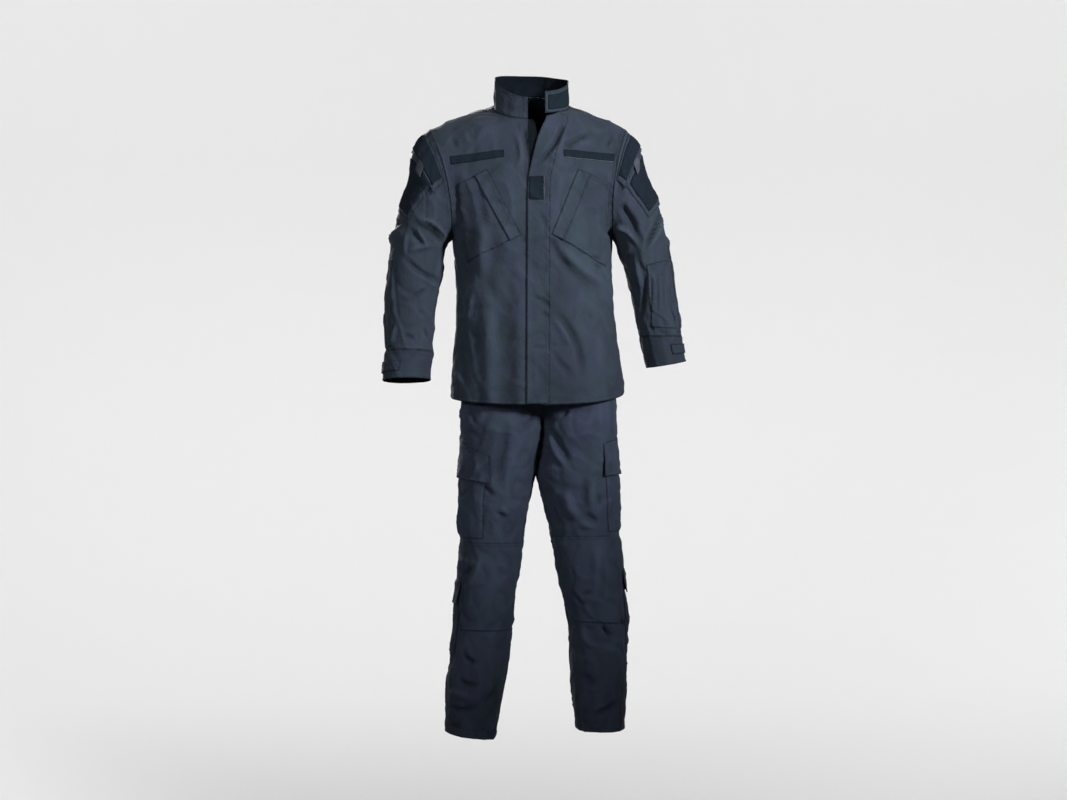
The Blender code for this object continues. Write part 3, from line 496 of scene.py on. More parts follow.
class Body(Surface):
    """Half of the jacket's body. Places are a course, counted up from the hem, and an x."""

    steps = (0.05, 0.0005)
    reach = 0.7
    blur = ((-1, 1), (-0.5, 2), (0, 3), (0.5, 2), (1, 1))
    edge_room = 0.02
    neck_room = 0.03

    def __init__(self, side: int, face: int) -> None:
        """Side 1 is the wearer's left and face 1 the back."""
        self.side, self.face = side, face
        self.arm = LEFT_ARM if side > 0 else RIGHT_ARM

    def edge(self, course: Array) -> Array:
        """Side seam below the underarm, armhole above it.

        Args:
            course: Courses up from the hem.

        Returns:
            The points.
        """
        turn = 180 * np.clip((SHOULDER - course) / (SHOULDER - UNDERARM), 0, 1)
        hole = self.arm.points(course * 0, -self.face * turn)
        z = mix(HEM_LEFT_Z if self.side > 0 else HEM_RIGHT_Z, UNDERARM_Z, np.minimum(course / UNDERARM, 1))
        row = BODY_TABLE.at(z)
        seam = spots(row["centre"] + self.side * row["half"], z * 0, z)
        return np.where((course > UNDERARM)[..., None], hole, seam)

    def middle(self, course: Array) -> Array:
        """Centre line up to the neck, then the neckline seam.

        Args:
            course: Courses up from the hem.

        Returns:
            The points.
        """
        opening = 180 if self.face > 0 else abs(LEFT_OPENING if self.side > 0 else RIGHT_OPENING)
        up = np.clip((course - NECK) / (SHOULDER - NECK), 0, 1)
        ring = neck_ring(self.side * mix(opening, 90, up))
        hem = HEM_BACK_Z if self.face > 0 else HEM_FRONT_Z
        top = float(neck_ring(np.array(180.0 if self.face > 0 else self.side * FRONT_CENTRE))[2])
        chest = mix(UNDERARM_Z, top, (course - UNDERARM) / (NECK - UNDERARM))
        z = np.where(course > UNDERARM, chest, mix(hem, UNDERARM_Z, course / UNDERARM))
        row = BODY_TABLE.at(z)
        line = spots(row["centre"], row["back"] if self.face > 0 else -row["front"], z)
        return np.where((course >= NECK)[..., None], ring, line)

    def plain(self, course: Array, x: Array) -> Array:
        """Points of courses, each a curve from the middle to the edge.

        Args:
            course: Courses up from the hem.
            x: Places along them.

        Returns:
            The points.
        """
        start, end = self.middle(course), self.edge(course)
        part = np.clip((x - start[..., 0]) / (end[..., 0] - start[..., 0]), 0, 1)
        last = np.radians(mix(90, ARM_ANGLE, eased((course - UNDERARM) / 2)))
        end_sine, end_cosine = rounded(np.sin(last)), rounded(np.cos(last))
        sine = (part * end_sine) ** (1 / SQUARENESS)
        cosine = rounded(np.sqrt(np.maximum(1 - sine * sine, 0)))
        bulge = np.maximum((cosine - end_cosine) / (1 - end_cosine), 0)
        fall = mix(bulge, 1 - part, eased((course - CHEST) / (SHOULDER - CHEST)))
        arch = SHOULDER_ARCH * np.maximum(course - NECK, 0) / (SHOULDER - NECK) * np.sin(np.pi * part)
        y, z = mix(end[..., 1], start[..., 1], bulge), mix(end[..., 2], start[..., 2], fall) + arch
        if self.face < 0:
            ring = neck_ring(self.side * np.maximum(self.side * neck_turn(x), FRONT_CENTRE))
            inside = (course >= NECK) & ((x - start[..., 0]) * self.side < 0)
            y, z = np.where(inside, ring[..., 1], y), np.where(inside, ring[..., 2], z)
        return spots(x + y * 0, y, z)

    def joined(self, course: Array, x: Array) -> Array:
        """Points of courses, the last one below the neck running up into the neckline.

        Args:
            course: Courses up from the hem.
            x: Places along them.

        Returns:
            The points.
        """
        found = self.plain(course, x)
        below = self.plain(course * 0 + NECK - 1, x)
        above = self.plain(course * 0 + NECK, x)
        between = ((course > NECK - 1) & (course < NECK))[..., None]
        return np.where(between, mix(below, above, (course - NECK + 1)[..., None]), found)

    def points(self, course: Array, x: Array) -> Array:
        """Points with the bends between courses softened, away from the seams.

        Args:
            course: Courses up from the hem.
            x: Places along them.

        Returns:
            The points.
        """
        course, x = np.broadcast_arrays(np.asarray(course, float), np.asarray(x, float))
        neck = self.middle(np.maximum(course, NECK))[..., 0]
        past_edge = np.abs(self.edge(course)[..., 0] - x) / self.edge_room
        past_neck = np.abs(x - neck) / self.neck_room + 2 * np.maximum(NECK - self.reach - course, 0)
        ends = np.minimum(course, SHOULDER - course) / self.reach
        shift = self.reach * np.clip(np.minimum(np.minimum(ends, past_edge), past_neck), 0, 1)
        total = sum(weight for _, weight in self.blur)
        return sum(self.joined(course + shift * step, x) * weight for step, weight in self.blur) / total

    def middles(self, course: Array, x: Array) -> Array:
        """Middle of the body at these heights."""
        here = self.points(course, x)
        return spots(here[..., 0] * 0, here[..., 0] * 0, here[..., 2])


class Face(Surface):
    """The whole front or back of the body. Places are x and z, as seen from that side."""

    steps = (0.0008, 0.0008)
    halvings = 18

    def __init__(self, face: int) -> None:
        """Face 1 is the back."""
        self.halves = {side: Body(side, face) for side in (-1, 1)}

    def courses(self, half: Body, x: Array, z: Array) -> Array:
        """Courses of places, found by halving.

        Args:
            half: The half they lie on.
            x: Places across.
            z: Heights.

        Returns:
            One course for each place.
        """
        low, high = z * 0.0, z * 0.0 + SHOULDER
        for _ in range(self.halvings):
            middle = (low + high) / 2
            above = half.points(middle, x)[..., 2] > z
            low, high = np.where(above, low, middle), np.where(above, middle, high)
        return (low + high) / 2

    def points(self, x: Array, z: Array) -> Array:
        """Points of the face.

        Args:
            x: Places across.
            z: Heights.

        Returns:
            The points.
        """
        x, z = np.broadcast_arrays(np.asarray(x, float), np.asarray(z, float))
        centre = BODY_TABLE.at(z)["centre"]
        found = {}
        for side, half in self.halves.items():
            place = np.where((x - centre) * side > 0, x, centre)
            found[side] = half.points(self.courses(half, place, z), place)[..., 1]
        return spots(x, np.where(x > centre, found[1], found[-1]), z)

    def middles(self, x: Array, z: Array) -> Array:
        """Middle of the body at these heights."""
        return spots(x * 0.0, x * 0.0, z + x * 0)


FRONT = Face(-1)
BACK = Face(1)


class Collar(Surface):
    """Outer face of the collar. Places are a share of its height, and degrees round the neck."""

    steps = (0.01, 0.2)

    def points(self, height: Array, turn: Array) -> Array:
        """Points of the collar.

        Args:
            height: Shares of its height.
            turn: Degrees round the neck from the front.

        Returns:
            The points.
        """
        base = neck_ring(np.where(turn > 180, turn - 360, turn))
        scale = mix(1, COLLAR_TAPER, height)
        side = np.sin(np.radians(turn))
        taller = np.where(side > 0, COLLAR_LEFT_RISE * side ** 6, COLLAR_RIGHT_RISE * side ** 2)
        rise = mix(COLLAR_GAP, COLLAR_HEIGHT + taller, height)
        x = NECK_X + (base[..., 0] - NECK_X) * scale
        return spots(x, base[..., 1] * scale, base[..., 2] + rise)

    def middles(self, height: Array, turn: Array) -> Array:
        """Middle of the neck at this height."""
        z = self.points(height, turn)[..., 2]
        return spots(z * 0 + NECK_X, z * 0, z)


COLLAR = Collar()


# ---- folds

class Fold(NamedTuple):
    """A soft crease from one place on a surface to another.

    The bow moves its middle to the right of its run, as a share of its length. Height is above 0 for a ridge
    and below for a trough. Lean 0 is even, and 1 or -1 lifts its right or left bank and sinks the other.
    Held 1 keeps its start full, as at a seam, -1 its end, 2 both and 0 neither.
    """

    first: float
    second: float
    to_first: float
    to_second: float
    bow: float
    width: float
    height: float
    lean: float = 0.0
    held: int = 0


class Drape:
    """How far cloth stands off its plain surface at each point: its folds, unevenness and small creases.

    A fold is a line of a few pieces. Unevenness and creases are sums of waves, with a range of
    wavelengths, and their stretch makes them longer one way.
    """

    pieces = 10
    narrowing = 0.82
    reach = 3.2
    fade = 0.4
    waves = 12
    broad_lengths = (0.26, 0.07)
    broad_stretch = (1.0, 1.0, 0.45)
    crease_lengths = (0.15, 0.05)
    crease_stretch = (1.0, 1.0, 0.7)
    crease = 0.0022

    def __init__(self, folds: tuple, uneven: float, seed: int, calm: Array, calm_width: float,
                 strength: float = 2.1) -> None:
        """Lays the folds' lines on their surfaces.

        Args:
            folds: Pairs of a surface and its folds.
            uneven: Size of the unevenness, in metres.
            seed: Fixes the unevenness.
            calm: Points of seams where the cloth keeps to its plain surface.
            calm_width: Width of the cloth that the seams hold.
            strength: What the folds' heights are multiplied by.
        """
        self.strength, self.uneven, self.calm, self.calm_width = strength, uneven, calm, calm_width
        self.lines = [line for surface, rows in folds for line in self.laid(surface, rows)]
        dice = np.random.default_rng(seed)
        spins = unit(dice.normal(size=(self.waves, 3))) * self.broad_stretch
        low, high = (math.tau / length for length in self.broad_lengths)
        self.spins = spins * dice.uniform(low, high, (self.waves, 1))
        self.phases = dice.uniform(0, math.tau, self.waves)
        turns = unit(dice.normal(size=(2, self.waves, 3))) * self.crease_stretch
        low, high = (math.tau / length for length in self.crease_lengths)
        turns = turns * dice.uniform(low, high, (2, self.waves, 1))
        self.creases = list(zip(turns, dice.uniform(0, math.tau, (2, self.waves))))

    def swings(self, points: Array, spins: Array, phases: Array) -> Array:
        """Sums of waves at these points, mostly between -2 and 2."""
        return np.cos(points @ spins.T + phases).sum(axis=-1) / math.sqrt(self.waves / 2)

    def laid(self, surface: Surface, rows: tuple) -> list:
        """Lines of folds.

        Args:
            surface: What they lie on.
            rows: The folds.

        Returns:
            Each fold's points, its sideways directions and the fold itself.
        """
        part = np.linspace(0, 1, self.pieces + 1)
        ends = np.array([row[:4] for row in rows])[:, :, None]
        first, second = mix(ends[:, 0], ends[:, 2], part), mix(ends[:, 1], ends[:, 3], part)
        points = surface.points(first, second)
        sideways = unit(np.cross(np.gradient(points, axis=1), surface.normals(first, second)))
        found = []
        for row, line, side in zip(rows, points, sideways):
            length = np.linalg.norm(line[-1] - line[0])
            found.append((line + side * (row.bow * length * np.sin(np.pi * part))[:, None], side, row))
        return found

    def heights(self, points: Array) -> Array:
        """Heights off the plain surface.

        Args:
            points: Points on the plain surface.

        Returns:
            One height for each, in metres.
        """
        flat = points.reshape(-1, 3)
        found = self.uneven * self.swings(flat, self.spins, self.phases)
        for crease, height in zip(self.creases, (self.crease, -self.crease)):
            sharp = np.maximum(1 - np.abs(self.swings(flat, *crease)), 0) ** 2
            found = found + height * self.strength / 2 * (sharp - 0.25)
        for line, sideways, fold in self.lines:
            reach = self.reach * fold.width
            near = np.flatnonzero(np.all((flat > line.min(0) - reach) & (flat < line.max(0) + reach), axis=1))
            if len(near):
                found[near] += self.one(flat[near], line, sideways, fold)
        nearest = np.min([np.linalg.norm(flat - point, axis=1) for point in self.calm], axis=0)
        return (found * eased(nearest / self.calm_width)).reshape(points.shape[:-1])

    def slack(self, points: Array) -> Array:
        """Share of a bag's fullness at these points, from nearly flat to about double."""
        (spins, _), (_, phases) = self.creases
        return 1 + 0.9 * np.sin(1.3 * self.swings(points, 0.8 * spins, phases))

    def one(self, points: Array, line: Array, sideways: Array, fold: Fold) -> Array:
        """Heights of one fold.

        Args:
            points: Points near it.
            line: The fold's points.
            sideways: Directions to its right at each of them.
            fold: Its shape.

        Returns:
            One height for each point.
        """
        best = np.full(len(points), np.inf)
        offset, along = np.zeros(len(points)), np.zeros(len(points))
        for i in range(len(line) - 1):
            run = line[i + 1] - line[i]
            part = np.clip((points - line[i]) @ run / (run @ run), 0, 1)
            away = points - line[i] - part[:, None] * run
            far = np.linalg.norm(away, axis=1)
            closer = far < best
            best[closer] = far[closer]
            offset[closer] = np.copysign(far, away @ sideways[i])[closer]
            along[closer] = (i + part[closer]) / (len(line) - 1)
        start = 1 if fold.held in (1, 2) else eased(along / self.fade)
        end = 1 if fold.held in (-1, 2) else eased((1 - along) / self.fade)
        across = offset / (self.narrowing * fold.width)
        fall = np.exp(-0.5 * across ** 2)
        even, odd = (1 - 0.35 * across ** 2) * fall, 1.6 * across * fall
        return self.strength * fold.height * start * end * mix(even, np.sign(fold.lean) * odd, abs(fold.lean))


FRONT_FOLDS = listed(
    Fold,
    # Chest
    (-0.197, -0.062, -0.18, -0.092, 0, 0.005, -0.0024), (-0.165, -0.045, -0.15, -0.085, 0.05, 0.007, 0.0016),
    (-0.051, -0.045, -0.039, -0.148, -0.12, 0.008, 0.0032),
    (-0.026, -0.036, -0.021, -0.102, 0, 0.0055, -0.0026),
    (0.062, -0.044, -0.005, -0.138, -0.07, 0.0055, -0.005, 0, 1),
    (0.072, -0.044, 0.025, -0.115, -0.13, 0.006, 0.0028), (0.136, -0.051, 0.06, -0.092, 0.04, 0.005, -0.0048),
    (0.15, -0.066, 0.078, -0.1, 0.05, 0.0065, 0.002), (0.18, -0.055, 0.162, -0.092, 0, 0.0052, -0.0028),
    (0.199, -0.053, 0.19, -0.069, 0, 0.0045, -0.0016), (0.007, -0.233, 0.03, -0.291, 0, 0.006, -0.0016),
    (-0.193, -0.145, -0.18, -0.265, 0, 0.012, -0.0042), (0.19, -0.15, 0.176, -0.26, 0, 0.012, -0.0036),
    # Wearer's right, below the chest pocket
    (-0.123, -0.243, -0.125, -0.423, -0.02, 0.018, 0.0044),
    (-0.102, -0.404, -0.102, -0.673, 0.01, 0.02, 0.0048, 0, -1),
    (-0.046, -0.32, -0.044, -0.677, 0, 0.019, 0.0016, -1, -1),
    (-0.143, -0.421, -0.157, -0.499, -0.02, 0.0055, 0.0032),
    (-0.171, -0.458, -0.15, -0.421, -0.1, 0.0055, 0.002),
    (-0.157, -0.499, -0.144, -0.592, -0.05, 0.0055, 0.0018),
    (-0.185, -0.606, -0.164, -0.647, 0, 0.0062, 0.0032),
    (-0.168, -0.3, -0.15, -0.37, 0.06, 0.009, -0.002),
    # Wearer's left: across the placket and down from it
    (-0.007, -0.434, 0.042, -0.467, -0.02, 0.0048, -0.0032),
    (0.037, -0.465, 0.11, -0.647, -0.13, 0.008, -0.0048),
    (0.037, -0.474, 0.088, -0.566, -0.03, 0.008, 0.0036), (-0.01, -0.555, 0.032, -0.556, 0, 0.0042, -0.0024),
    (0.032, -0.557, 0.092, -0.633, 0, 0.0062, -0.0034),
    (0.051, -0.319, 0.169, -0.416, 0.08, 0.013, 0.0068, -0.4),
    (0.039, -0.314, 0.09, -0.381, 0.06, 0.008, -0.0038, 0, 1),
    (0.129, -0.342, 0.153, -0.354, 0, 0.0048, -0.0022),
    (0.134, -0.36, 0.16, -0.374, 0, 0.0052, -0.0018), (0.123, -0.469, 0.132, -0.499, 0, 0.006, -0.0022),
    (-0.014, -0.402, 0.014, -0.407, 0, 0.0045, 0.0013), (0.005, -0.476, 0.037, -0.485, 0, 0.0052, -0.0016),
    (0.145, -0.53, 0.16, -0.64, 0.04, 0.014, 0.0028),
)
BACK_FOLDS = listed(
    Fold,
    # Between the shoulders
    (-0.165, -0.075, -0.12, -0.23, 0.1, 0.0085, -0.0045), (-0.15, -0.08, -0.098, -0.25, 0.08, 0.01, 0.004),
    (0.15, -0.07, 0.108, -0.24, -0.1, 0.0085, -0.0048), (0.138, -0.085, 0.09, -0.262, -0.07, 0.01, 0.0038),
    (-0.06, -0.045, 0.055, -0.052, 0.06, 0.006, -0.0022), (-0.08, -0.085, 0.02, -0.105, 0.05, 0.008, -0.0022),
    # Small of the back
    (-0.15, -0.33, -0.06, -0.372, 0.08, 0.0075, -0.0042),
    (-0.165, -0.365, -0.075, -0.395, 0.06, 0.008, 0.0038),
    (0.155, -0.345, 0.05, -0.385, -0.08, 0.0078, -0.0044), (0.168, -0.38, 0.07, -0.41, -0.05, 0.0085, 0.0036),
    (-0.045, -0.395, 0.035, -0.402, 0.05, 0.007, -0.0026),
    # Down to the hem
    (-0.118, -0.4, -0.128, -0.675, 0.02, 0.016, 0.0062, 0, -1),
    (-0.078, -0.43, -0.07, -0.675, -0.02, 0.011, -0.0015, 0, -1),
    (-0.012, -0.42, -0.018, -0.678, 0.02, 0.015, 0.0048, 0, -1),
    (0.04, -0.44, 0.046, -0.678, -0.02, 0.011, -0.0015, 0, -1),
    (0.098, -0.405, 0.108, -0.676, 0.03, 0.0165, 0.0062, 0, -1),
    (0.155, -0.48, 0.164, -0.66, 0, 0.01, -0.003, 0, -1),
)
COLLAR_FOLDS = listed(
    Fold,
    (0.1, 150, 0.85, 158, 0, 0.008, -0.0007), (0.05, 205, 0.8, 198, 0, 0.009, 0.0014),
    (0.2, 318, 0.9, 326, 0, 0.007, -0.0006), (0.15, 96, 0.8, 104, 0, 0.007, -0.0012),
)
RIGHT_SLEEVE_FOLDS = listed(
    Fold,
    # Below the pocket, gathered to the elbow
    (0.198, 67, 0.11, 152, -0.02, 0.0058, 0.0048), (0.216, 62, 0.2, 158, -0.07, 0.0062, -0.0036),
    (0.207, 74, 0.265, 117, -0.04, 0.0048, 0.0032), (0.222, 58, 0.262, 112, 0, 0.006, -0.0026),
    (0.235, 61, 0.305, 66, -0.06, 0.005, 0.003), (0.31, 58, 0.24, 132, -0.02, 0.0062, 0.003),
    (0.3, 60, 0.366, 172, 0.12, 0.0066, -0.0034), (0.348, 88, 0.387, 164, 0, 0.0062, 0.0022),
    (0.415, 66, 0.421, 93, 0, 0.0048, -0.002), (0.426, 82, 0.38, 138, 0, 0.0058, -0.0022),
    (0.314, 32, 0.464, 61, 0.01, 0.0048, 0.0026), (0.473, 61, 0.537, 47, 0, 0.0048, 0.003),
    (0.506, 76, 0.518, 110, -0.1, 0.0048, -0.003), (0.442, 112, 0.461, 146, 0, 0.0062, -0.002),
    (0.48, 128, 0.52, 150, 0, 0.0055, -0.0022),
    # Outer side and back
    (0.225, 48, 0.255, -20, 0.1, 0.0075, -0.0036), (0.25, 40, 0.29, -35, 0.08, 0.008, 0.0034),
    (0.27, -30, 0.33, -120, 0.06, 0.0085, -0.0042), (0.215, -70, 0.27, -150, -0.08, 0.008, 0.0036),
    (0.345, -60, 0.385, -150, 0.05, 0.008, -0.0034), (0.15, -80, 0.19, -160, 0.05, 0.008, -0.0032),
    (0.42, -40, 0.455, -115, -0.06, 0.007, -0.0028), (0.49, -10, 0.528, -60, 0.04, 0.0055, 0.0026),
    (0.5, -75, 0.53, -100, 0, 0.005, -0.0026), (0.485, -130, 0.528, -145, 0, 0.0055, -0.0024),
    (0.47, 20, 0.536, 26, 0.05, 0.0052, -0.0024),
)
LEFT_SLEEVE_FOLDS = listed(
    Fold,
    # Under the pocket and down the inner side
    (0.219, 6, 0.283, 101, 0.03, 0.0058, -0.0068, 0, 1), (0.236, 14, 0.294, 102, 0, 0.0058, 0.0044),
    (0.035, 108, 0.245, 102, -0.07, 0.0095, -0.0068), (0.02, 142, 0.289, 102, -0.05, 0.0065, 0.0048),
    (0.268, 122, 0.423, 129, -0.04, 0.0058, 0.0032), (0.335, 106, 0.481, 150, -0.06, 0.0058, -0.005),
    (0.364, 144, 0.408, 131, 0, 0.0048, -0.0024),
    # The pen pocket's channels
    (0.335, 89, 0.475, 114, -0.02, 0.003, -0.0013), (0.341, 75, 0.466, 95, -0.02, 0.003, -0.0013),
    (0.347, 58, 0.472, 77, -0.01, 0.003, -0.0013), (0.356, 38, 0.469, 50, 0.01, 0.003, -0.0013),
    (0.437, 55, 0.507, 31, -0.01, 0.0045, -0.0022),
    # Above the cuff
    (0.497, 103, 0.509, 50, 0.06, 0.0048, -0.0028), (0.482, 124, 0.498, 109, 0, 0.0048, -0.0022),
    # Outer side and back
    (0.25, -10, 0.3, -90, 0.08, 0.0085, -0.0042), (0.275, 2, 0.325, -80, 0.06, 0.0085, 0.0036),
    (0.215, -75, 0.29, -150, 0.06, 0.008, -0.0038), (0.33, -70, 0.375, -155, -0.05, 0.008, 0.0034),
    (0.15, -85, 0.2, -160, 0.04, 0.008, -0.003), (0.395, -20, 0.43, -100, 0.05, 0.0072, -0.0028),
    (0.45, 5, 0.505, -10, 0.04, 0.0055, 0.0026), (0.462, -60, 0.505, -80, 0, 0.0052, -0.0026),
    (0.455, -125, 0.5, -140, 0, 0.0055, -0.0024),
)
RIGHT_LEG_FOLDS = listed(
    Fold,
    # Hip and thigh
    (-0.682, 37, -0.734, 24, 0, 0.01, 0.0042), (-0.717, 169, -0.825, 163, -0.07, 0.0062, 0.003),
    (-0.743, 114, -0.721, 158, -0.04, 0.0082, -0.0026), (-0.704, 98, -0.903, 92, 0.04, 0.0125, -0.0034),
    (-0.821, 65, -0.855, 54, 0, 0.0048, 0.0022), (-0.834, 26, -0.851, 39, 0, 0.0048, -0.0022),
    (-0.885, 46, -0.903, 22, 0, 0.005, -0.0014), (-0.898, 46, -0.916, 22, 0, 0.005, 0.0014),
    (-0.872, 71, -0.903, 90, 0, 0.0062, -0.0032), (-0.933, 85, -0.959, 113, -0.08, 0.0062, -0.0018),
    (-0.925, 98, -0.948, 116, 0, 0.0065, 0.0026), (-0.959, 82, -0.981, 91, 0, 0.0052, -0.0012),
    # Knee and shin
    (-1.032, 77, -1.128, 41, -0.14, 0.0062, 0.0048), (-1.063, 66, -1.089, 41, 0, 0.0062, -0.0034),
    (-1.054, 34, -1.08, 18, 0, 0.0048, 0.0022), (-1.257, 58, -1.288, 93, 0.19, 0.0062, -0.0036),
    (-1.318, 57, -1.335, 101, 0.24, 0.0062, -0.0036), (-1.391, 35, -1.387, 105, 0.14, 0.0062, -0.0036),
    (-1.387, 105, -1.335, 136, 0.13, 0.0062, -0.0032), (-1.361, 29, -1.374, 98, -0.05, 0.0085, 0.0034),
    (-1.439, 35, -1.443, 77, 0, 0.0048, -0.002),
    # Outer side and back
    (-0.73, -60, -0.8, -150, 0.1, 0.01, -0.0048), (-0.76, -70, -0.83, -150, 0.08, 0.01, 0.0042),
    (-0.86, -80, -0.905, -150, 0.06, 0.009, -0.0034), (-1.04, -70, -1.06, -150, -0.1, 0.008, -0.005),
    (-1.075, -62, -1.085, -140, -0.06, 0.008, 0.0044), (-1.105, -80, -1.112, -155, 0.08, 0.008, -0.0046),
    (-1.19, -80, -1.215, -150, 0.05, 0.0085, -0.003), (-1.3, -30, -1.34, -120, 0.08, 0.009, -0.0036),
    (-1.365, -20, -1.395, -110, 0.1, 0.0085, -0.0038), (-1.335, -60, -1.37, -150, 0.05, 0.009, 0.0032),
)
LEFT_LEG_FOLDS = listed(
    Fold,
    # Hip and thigh
    (-0.732, 146, -0.834, 92, -0.02, 0.0082, -0.003), (-0.741, 146, -0.843, 96, 0.05, 0.0074, 0.0028),
    (-0.698, 124, -0.715, 137, 0, 0.0072, -0.0034), (-0.847, 75, -0.941, 84, 0.09, 0.0064, -0.0034),
    (-0.932, 85, -0.958, 65, 0.18, 0.0064, -0.003), (-0.86, 65, -0.941, 74, 0.11, 0.0072, 0.0034),
    (-0.881, 109, -0.962, 94, 0.05, 0.0125, 0.0066), (-0.958, 96, -0.975, 79, 0, 0.0085, 0.0032),
    (-0.89, 60, -0.928, 63, 0, 0.0052, -0.0024),
    # Knee and shin
    (-1.013, 79, -1.145, 90, -0.02, 0.01, 0.0034), (-1.12, 129, -1.158, 107, 0, 0.0052, -0.003),
    (-1.132, 109, -1.12, 91, 0, 0.0052, -0.0022), (-1.205, 113, -1.213, 95, 0, 0.0048, -0.0022),
    (-1.196, 84, -1.226, 61, 0.17, 0.0048, -0.0052), (-1.192, 52, -1.205, 4, 0, 0.0048, -0.0032),
    (-1.2, 121, -1.256, 88, 0.16, 0.0075, 0.0046), (-1.256, 88, -1.294, 42, -0.2, 0.0085, 0.0036),
    (-1.418, 112, -1.375, 39, -0.01, 0.0064, -0.0036), (-1.31, 120, -1.345, 100, 0, 0.009, -0.0022),
    # Outer side and back
    (-0.735, -60, -0.812, -150, 0.1, 0.01, -0.0048), (-0.765, -70, -0.845, -150, 0.08, 0.01, 0.004),
    (-0.87, -85, -0.9, -150, 0.06, 0.009, -0.0034), (-1.03, -80, -1.05, -155, -0.08, 0.008, -0.0048),
    (-1.062, -75, -1.075, -145, -0.06, 0.008, 0.0044), (-1.095, -80, -1.105, -155, 0.08, 0.008, -0.0048),
    (-1.18, -85, -1.205, -150, 0.05, 0.0085, -0.003), (-1.285, -30, -1.325, -120, 0.08, 0.009, -0.0038),
    (-1.355, -15, -1.385, -105, 0.1, 0.0085, -0.0036), (-1.325, -60, -1.36, -150, 0.05, 0.009, 0.0032),
)


# ---- finishes

class Tree:
    """A node tree under construction."""

    def __init__(self, tree: NodeTree) -> None:
        """Wraps a tree."""
        self.tree = tree

    def add(self, kind: str, *values: object, **settings: object) -> Node:
        """Adds a node, sets its settings and fills its inputs in order.

        Args:
            kind: The node's type.
            values: For each input a value, a socket to link, or None to leave it.
            settings: The node's own properties.

        Returns:
            The node.
        """
        node = self.tree.nodes.new(kind)
        for name, value in settings.items():
            setattr(node, name, value)
        for socket, value in zip(node.inputs, values):
            self.fill(socket, value)
        return node

    def fill(self, socket: NodeSocket, value: object) -> None:
        """Links a socket, or sets its value.

        Args:
            socket: An input.
            value: A socket to link, a value, or None to leave it.
        """
        if isinstance(value, NodeSocket):
            self.tree.links.new(value, socket)
        elif value is not None:
            socket.default_value = value

    def put(self, node: Node, **values: object) -> NodeSocket:
        """Fills inputs by name.

        Args:
            node: The node.
            values: Values or sockets by input name, with _ for a space.

        Returns:
            The node's first output.
        """
        for name, value in values.items():
            self.fill(node.inputs[name.replace("_", " ")], value)
        return node.outputs[0]

    def sum(self, operation: str, *values: object) -> NodeSocket:
        """Output of a Math node."""
        return self.add("ShaderNodeMath", *values, operation=operation).outputs[0]

    def swing(self, value: object, amount: object, base: object) -> NodeSocket:
        """The base, plus an amount times how far a value is above its middle of 0.5."""
        return self.sum("MULTIPLY_ADD", self.sum("SUBTRACT", value, 0.5), amount, base)

    def ramp(self, value: object, low: float, high: float, start: float = 0.0, end: float = 1.0) -> object:
        """Output of a smooth Map Range from low..high to start..end."""
        node = self.add("ShaderNodeMapRange", value, low, high, start, end, interpolation_type="SMOOTHSTEP")
        return node.outputs[0]

    def noise(self, place: object, scale: float, detail: float, roughness: float) -> NodeSocket:
        """Output of a Noise Texture."""
        return self.add("ShaderNodeTexNoise", place, None, scale, detail, roughness).outputs[0]


class Effect:
    """A shader node group under construction, with float inputs and outputs."""

    def __init__(self, name: str, inputs: dict, outputs: tuple) -> None:
        """Makes the group's sockets.

        Args:
            name: The group's name.
            inputs: Default value of each input, by name.
            outputs: Names of the outputs.
        """
        self.group = bpy.data.node_groups.new(name, "ShaderNodeTree")
        for label, value in inputs.items():
            socket = self.group.interface.new_socket(label, in_out="INPUT", socket_type="NodeSocketFloat")
            socket.default_value = value
        for label in outputs:
            self.group.interface.new_socket(label, in_out="OUTPUT", socket_type="NodeSocketFloat")
        self.tree = Tree(self.group)
        self.given = self.tree.add("NodeGroupInput").outputs
        self.result = self.tree.add("NodeGroupOutput").inputs

    def give(self, **values: object) -> NodeTree:
        """Links the outputs.

        Args:
            values: Sockets by output name.

        Returns:
            The finished group.
        """
        for name, value in values.items():
            self.tree.fill(self.result[name], value)
        return self.group


def make_weave_group() -> NodeTree:
    """Ripstop weave on the cloth's own map, in metres.

    Returns:
        The group. It puts out a height from 0 to 1 and a tone about 1.
    """
    sizes = {"Thread pitch": 0.0006, "Grid pitch": 0.0055, "Grid": 0.5}
    effect = Effect("cloth_weave", sizes, ("Height", "Tone"))
    tree = effect.tree
    place = tree.add("ShaderNodeSeparateXYZ", tree.add("ShaderNodeUVMap", uv_map="cloth").outputs[0])
    bar_half, bar_tone = 0.11, 0.10
    threads, bars = [], []
    for axis in ("X", "Y"):
        turns = tree.sum("DIVIDE", place.outputs[axis], effect.given["Thread pitch"])
        threads.append(tree.sum("SINE", tree.sum("MULTIPLY", turns, math.tau)))
        cell = tree.sum("FRACT", tree.sum("DIVIDE", place.outputs[axis], effect.given["Grid pitch"]))
        off_bar = tree.sum("ABSOLUTE", tree.sum("SUBTRACT", cell, 0.5))
        bars.append(tree.ramp(off_bar, 0.0, bar_half, 1.0, 0.0))
    fine = tree.sum("MULTIPLY_ADD", tree.sum("MULTIPLY", *threads), 0.25, 0.25)
    grid = tree.sum("MULTIPLY", tree.sum("MAXIMUM", *bars), effect.given["Grid"])
    tone = tree.sum("MULTIPLY_ADD", grid, bar_tone, 0.98)
    return effect.give(Height=tree.sum("ADD", fine, grid), Tone=tone)


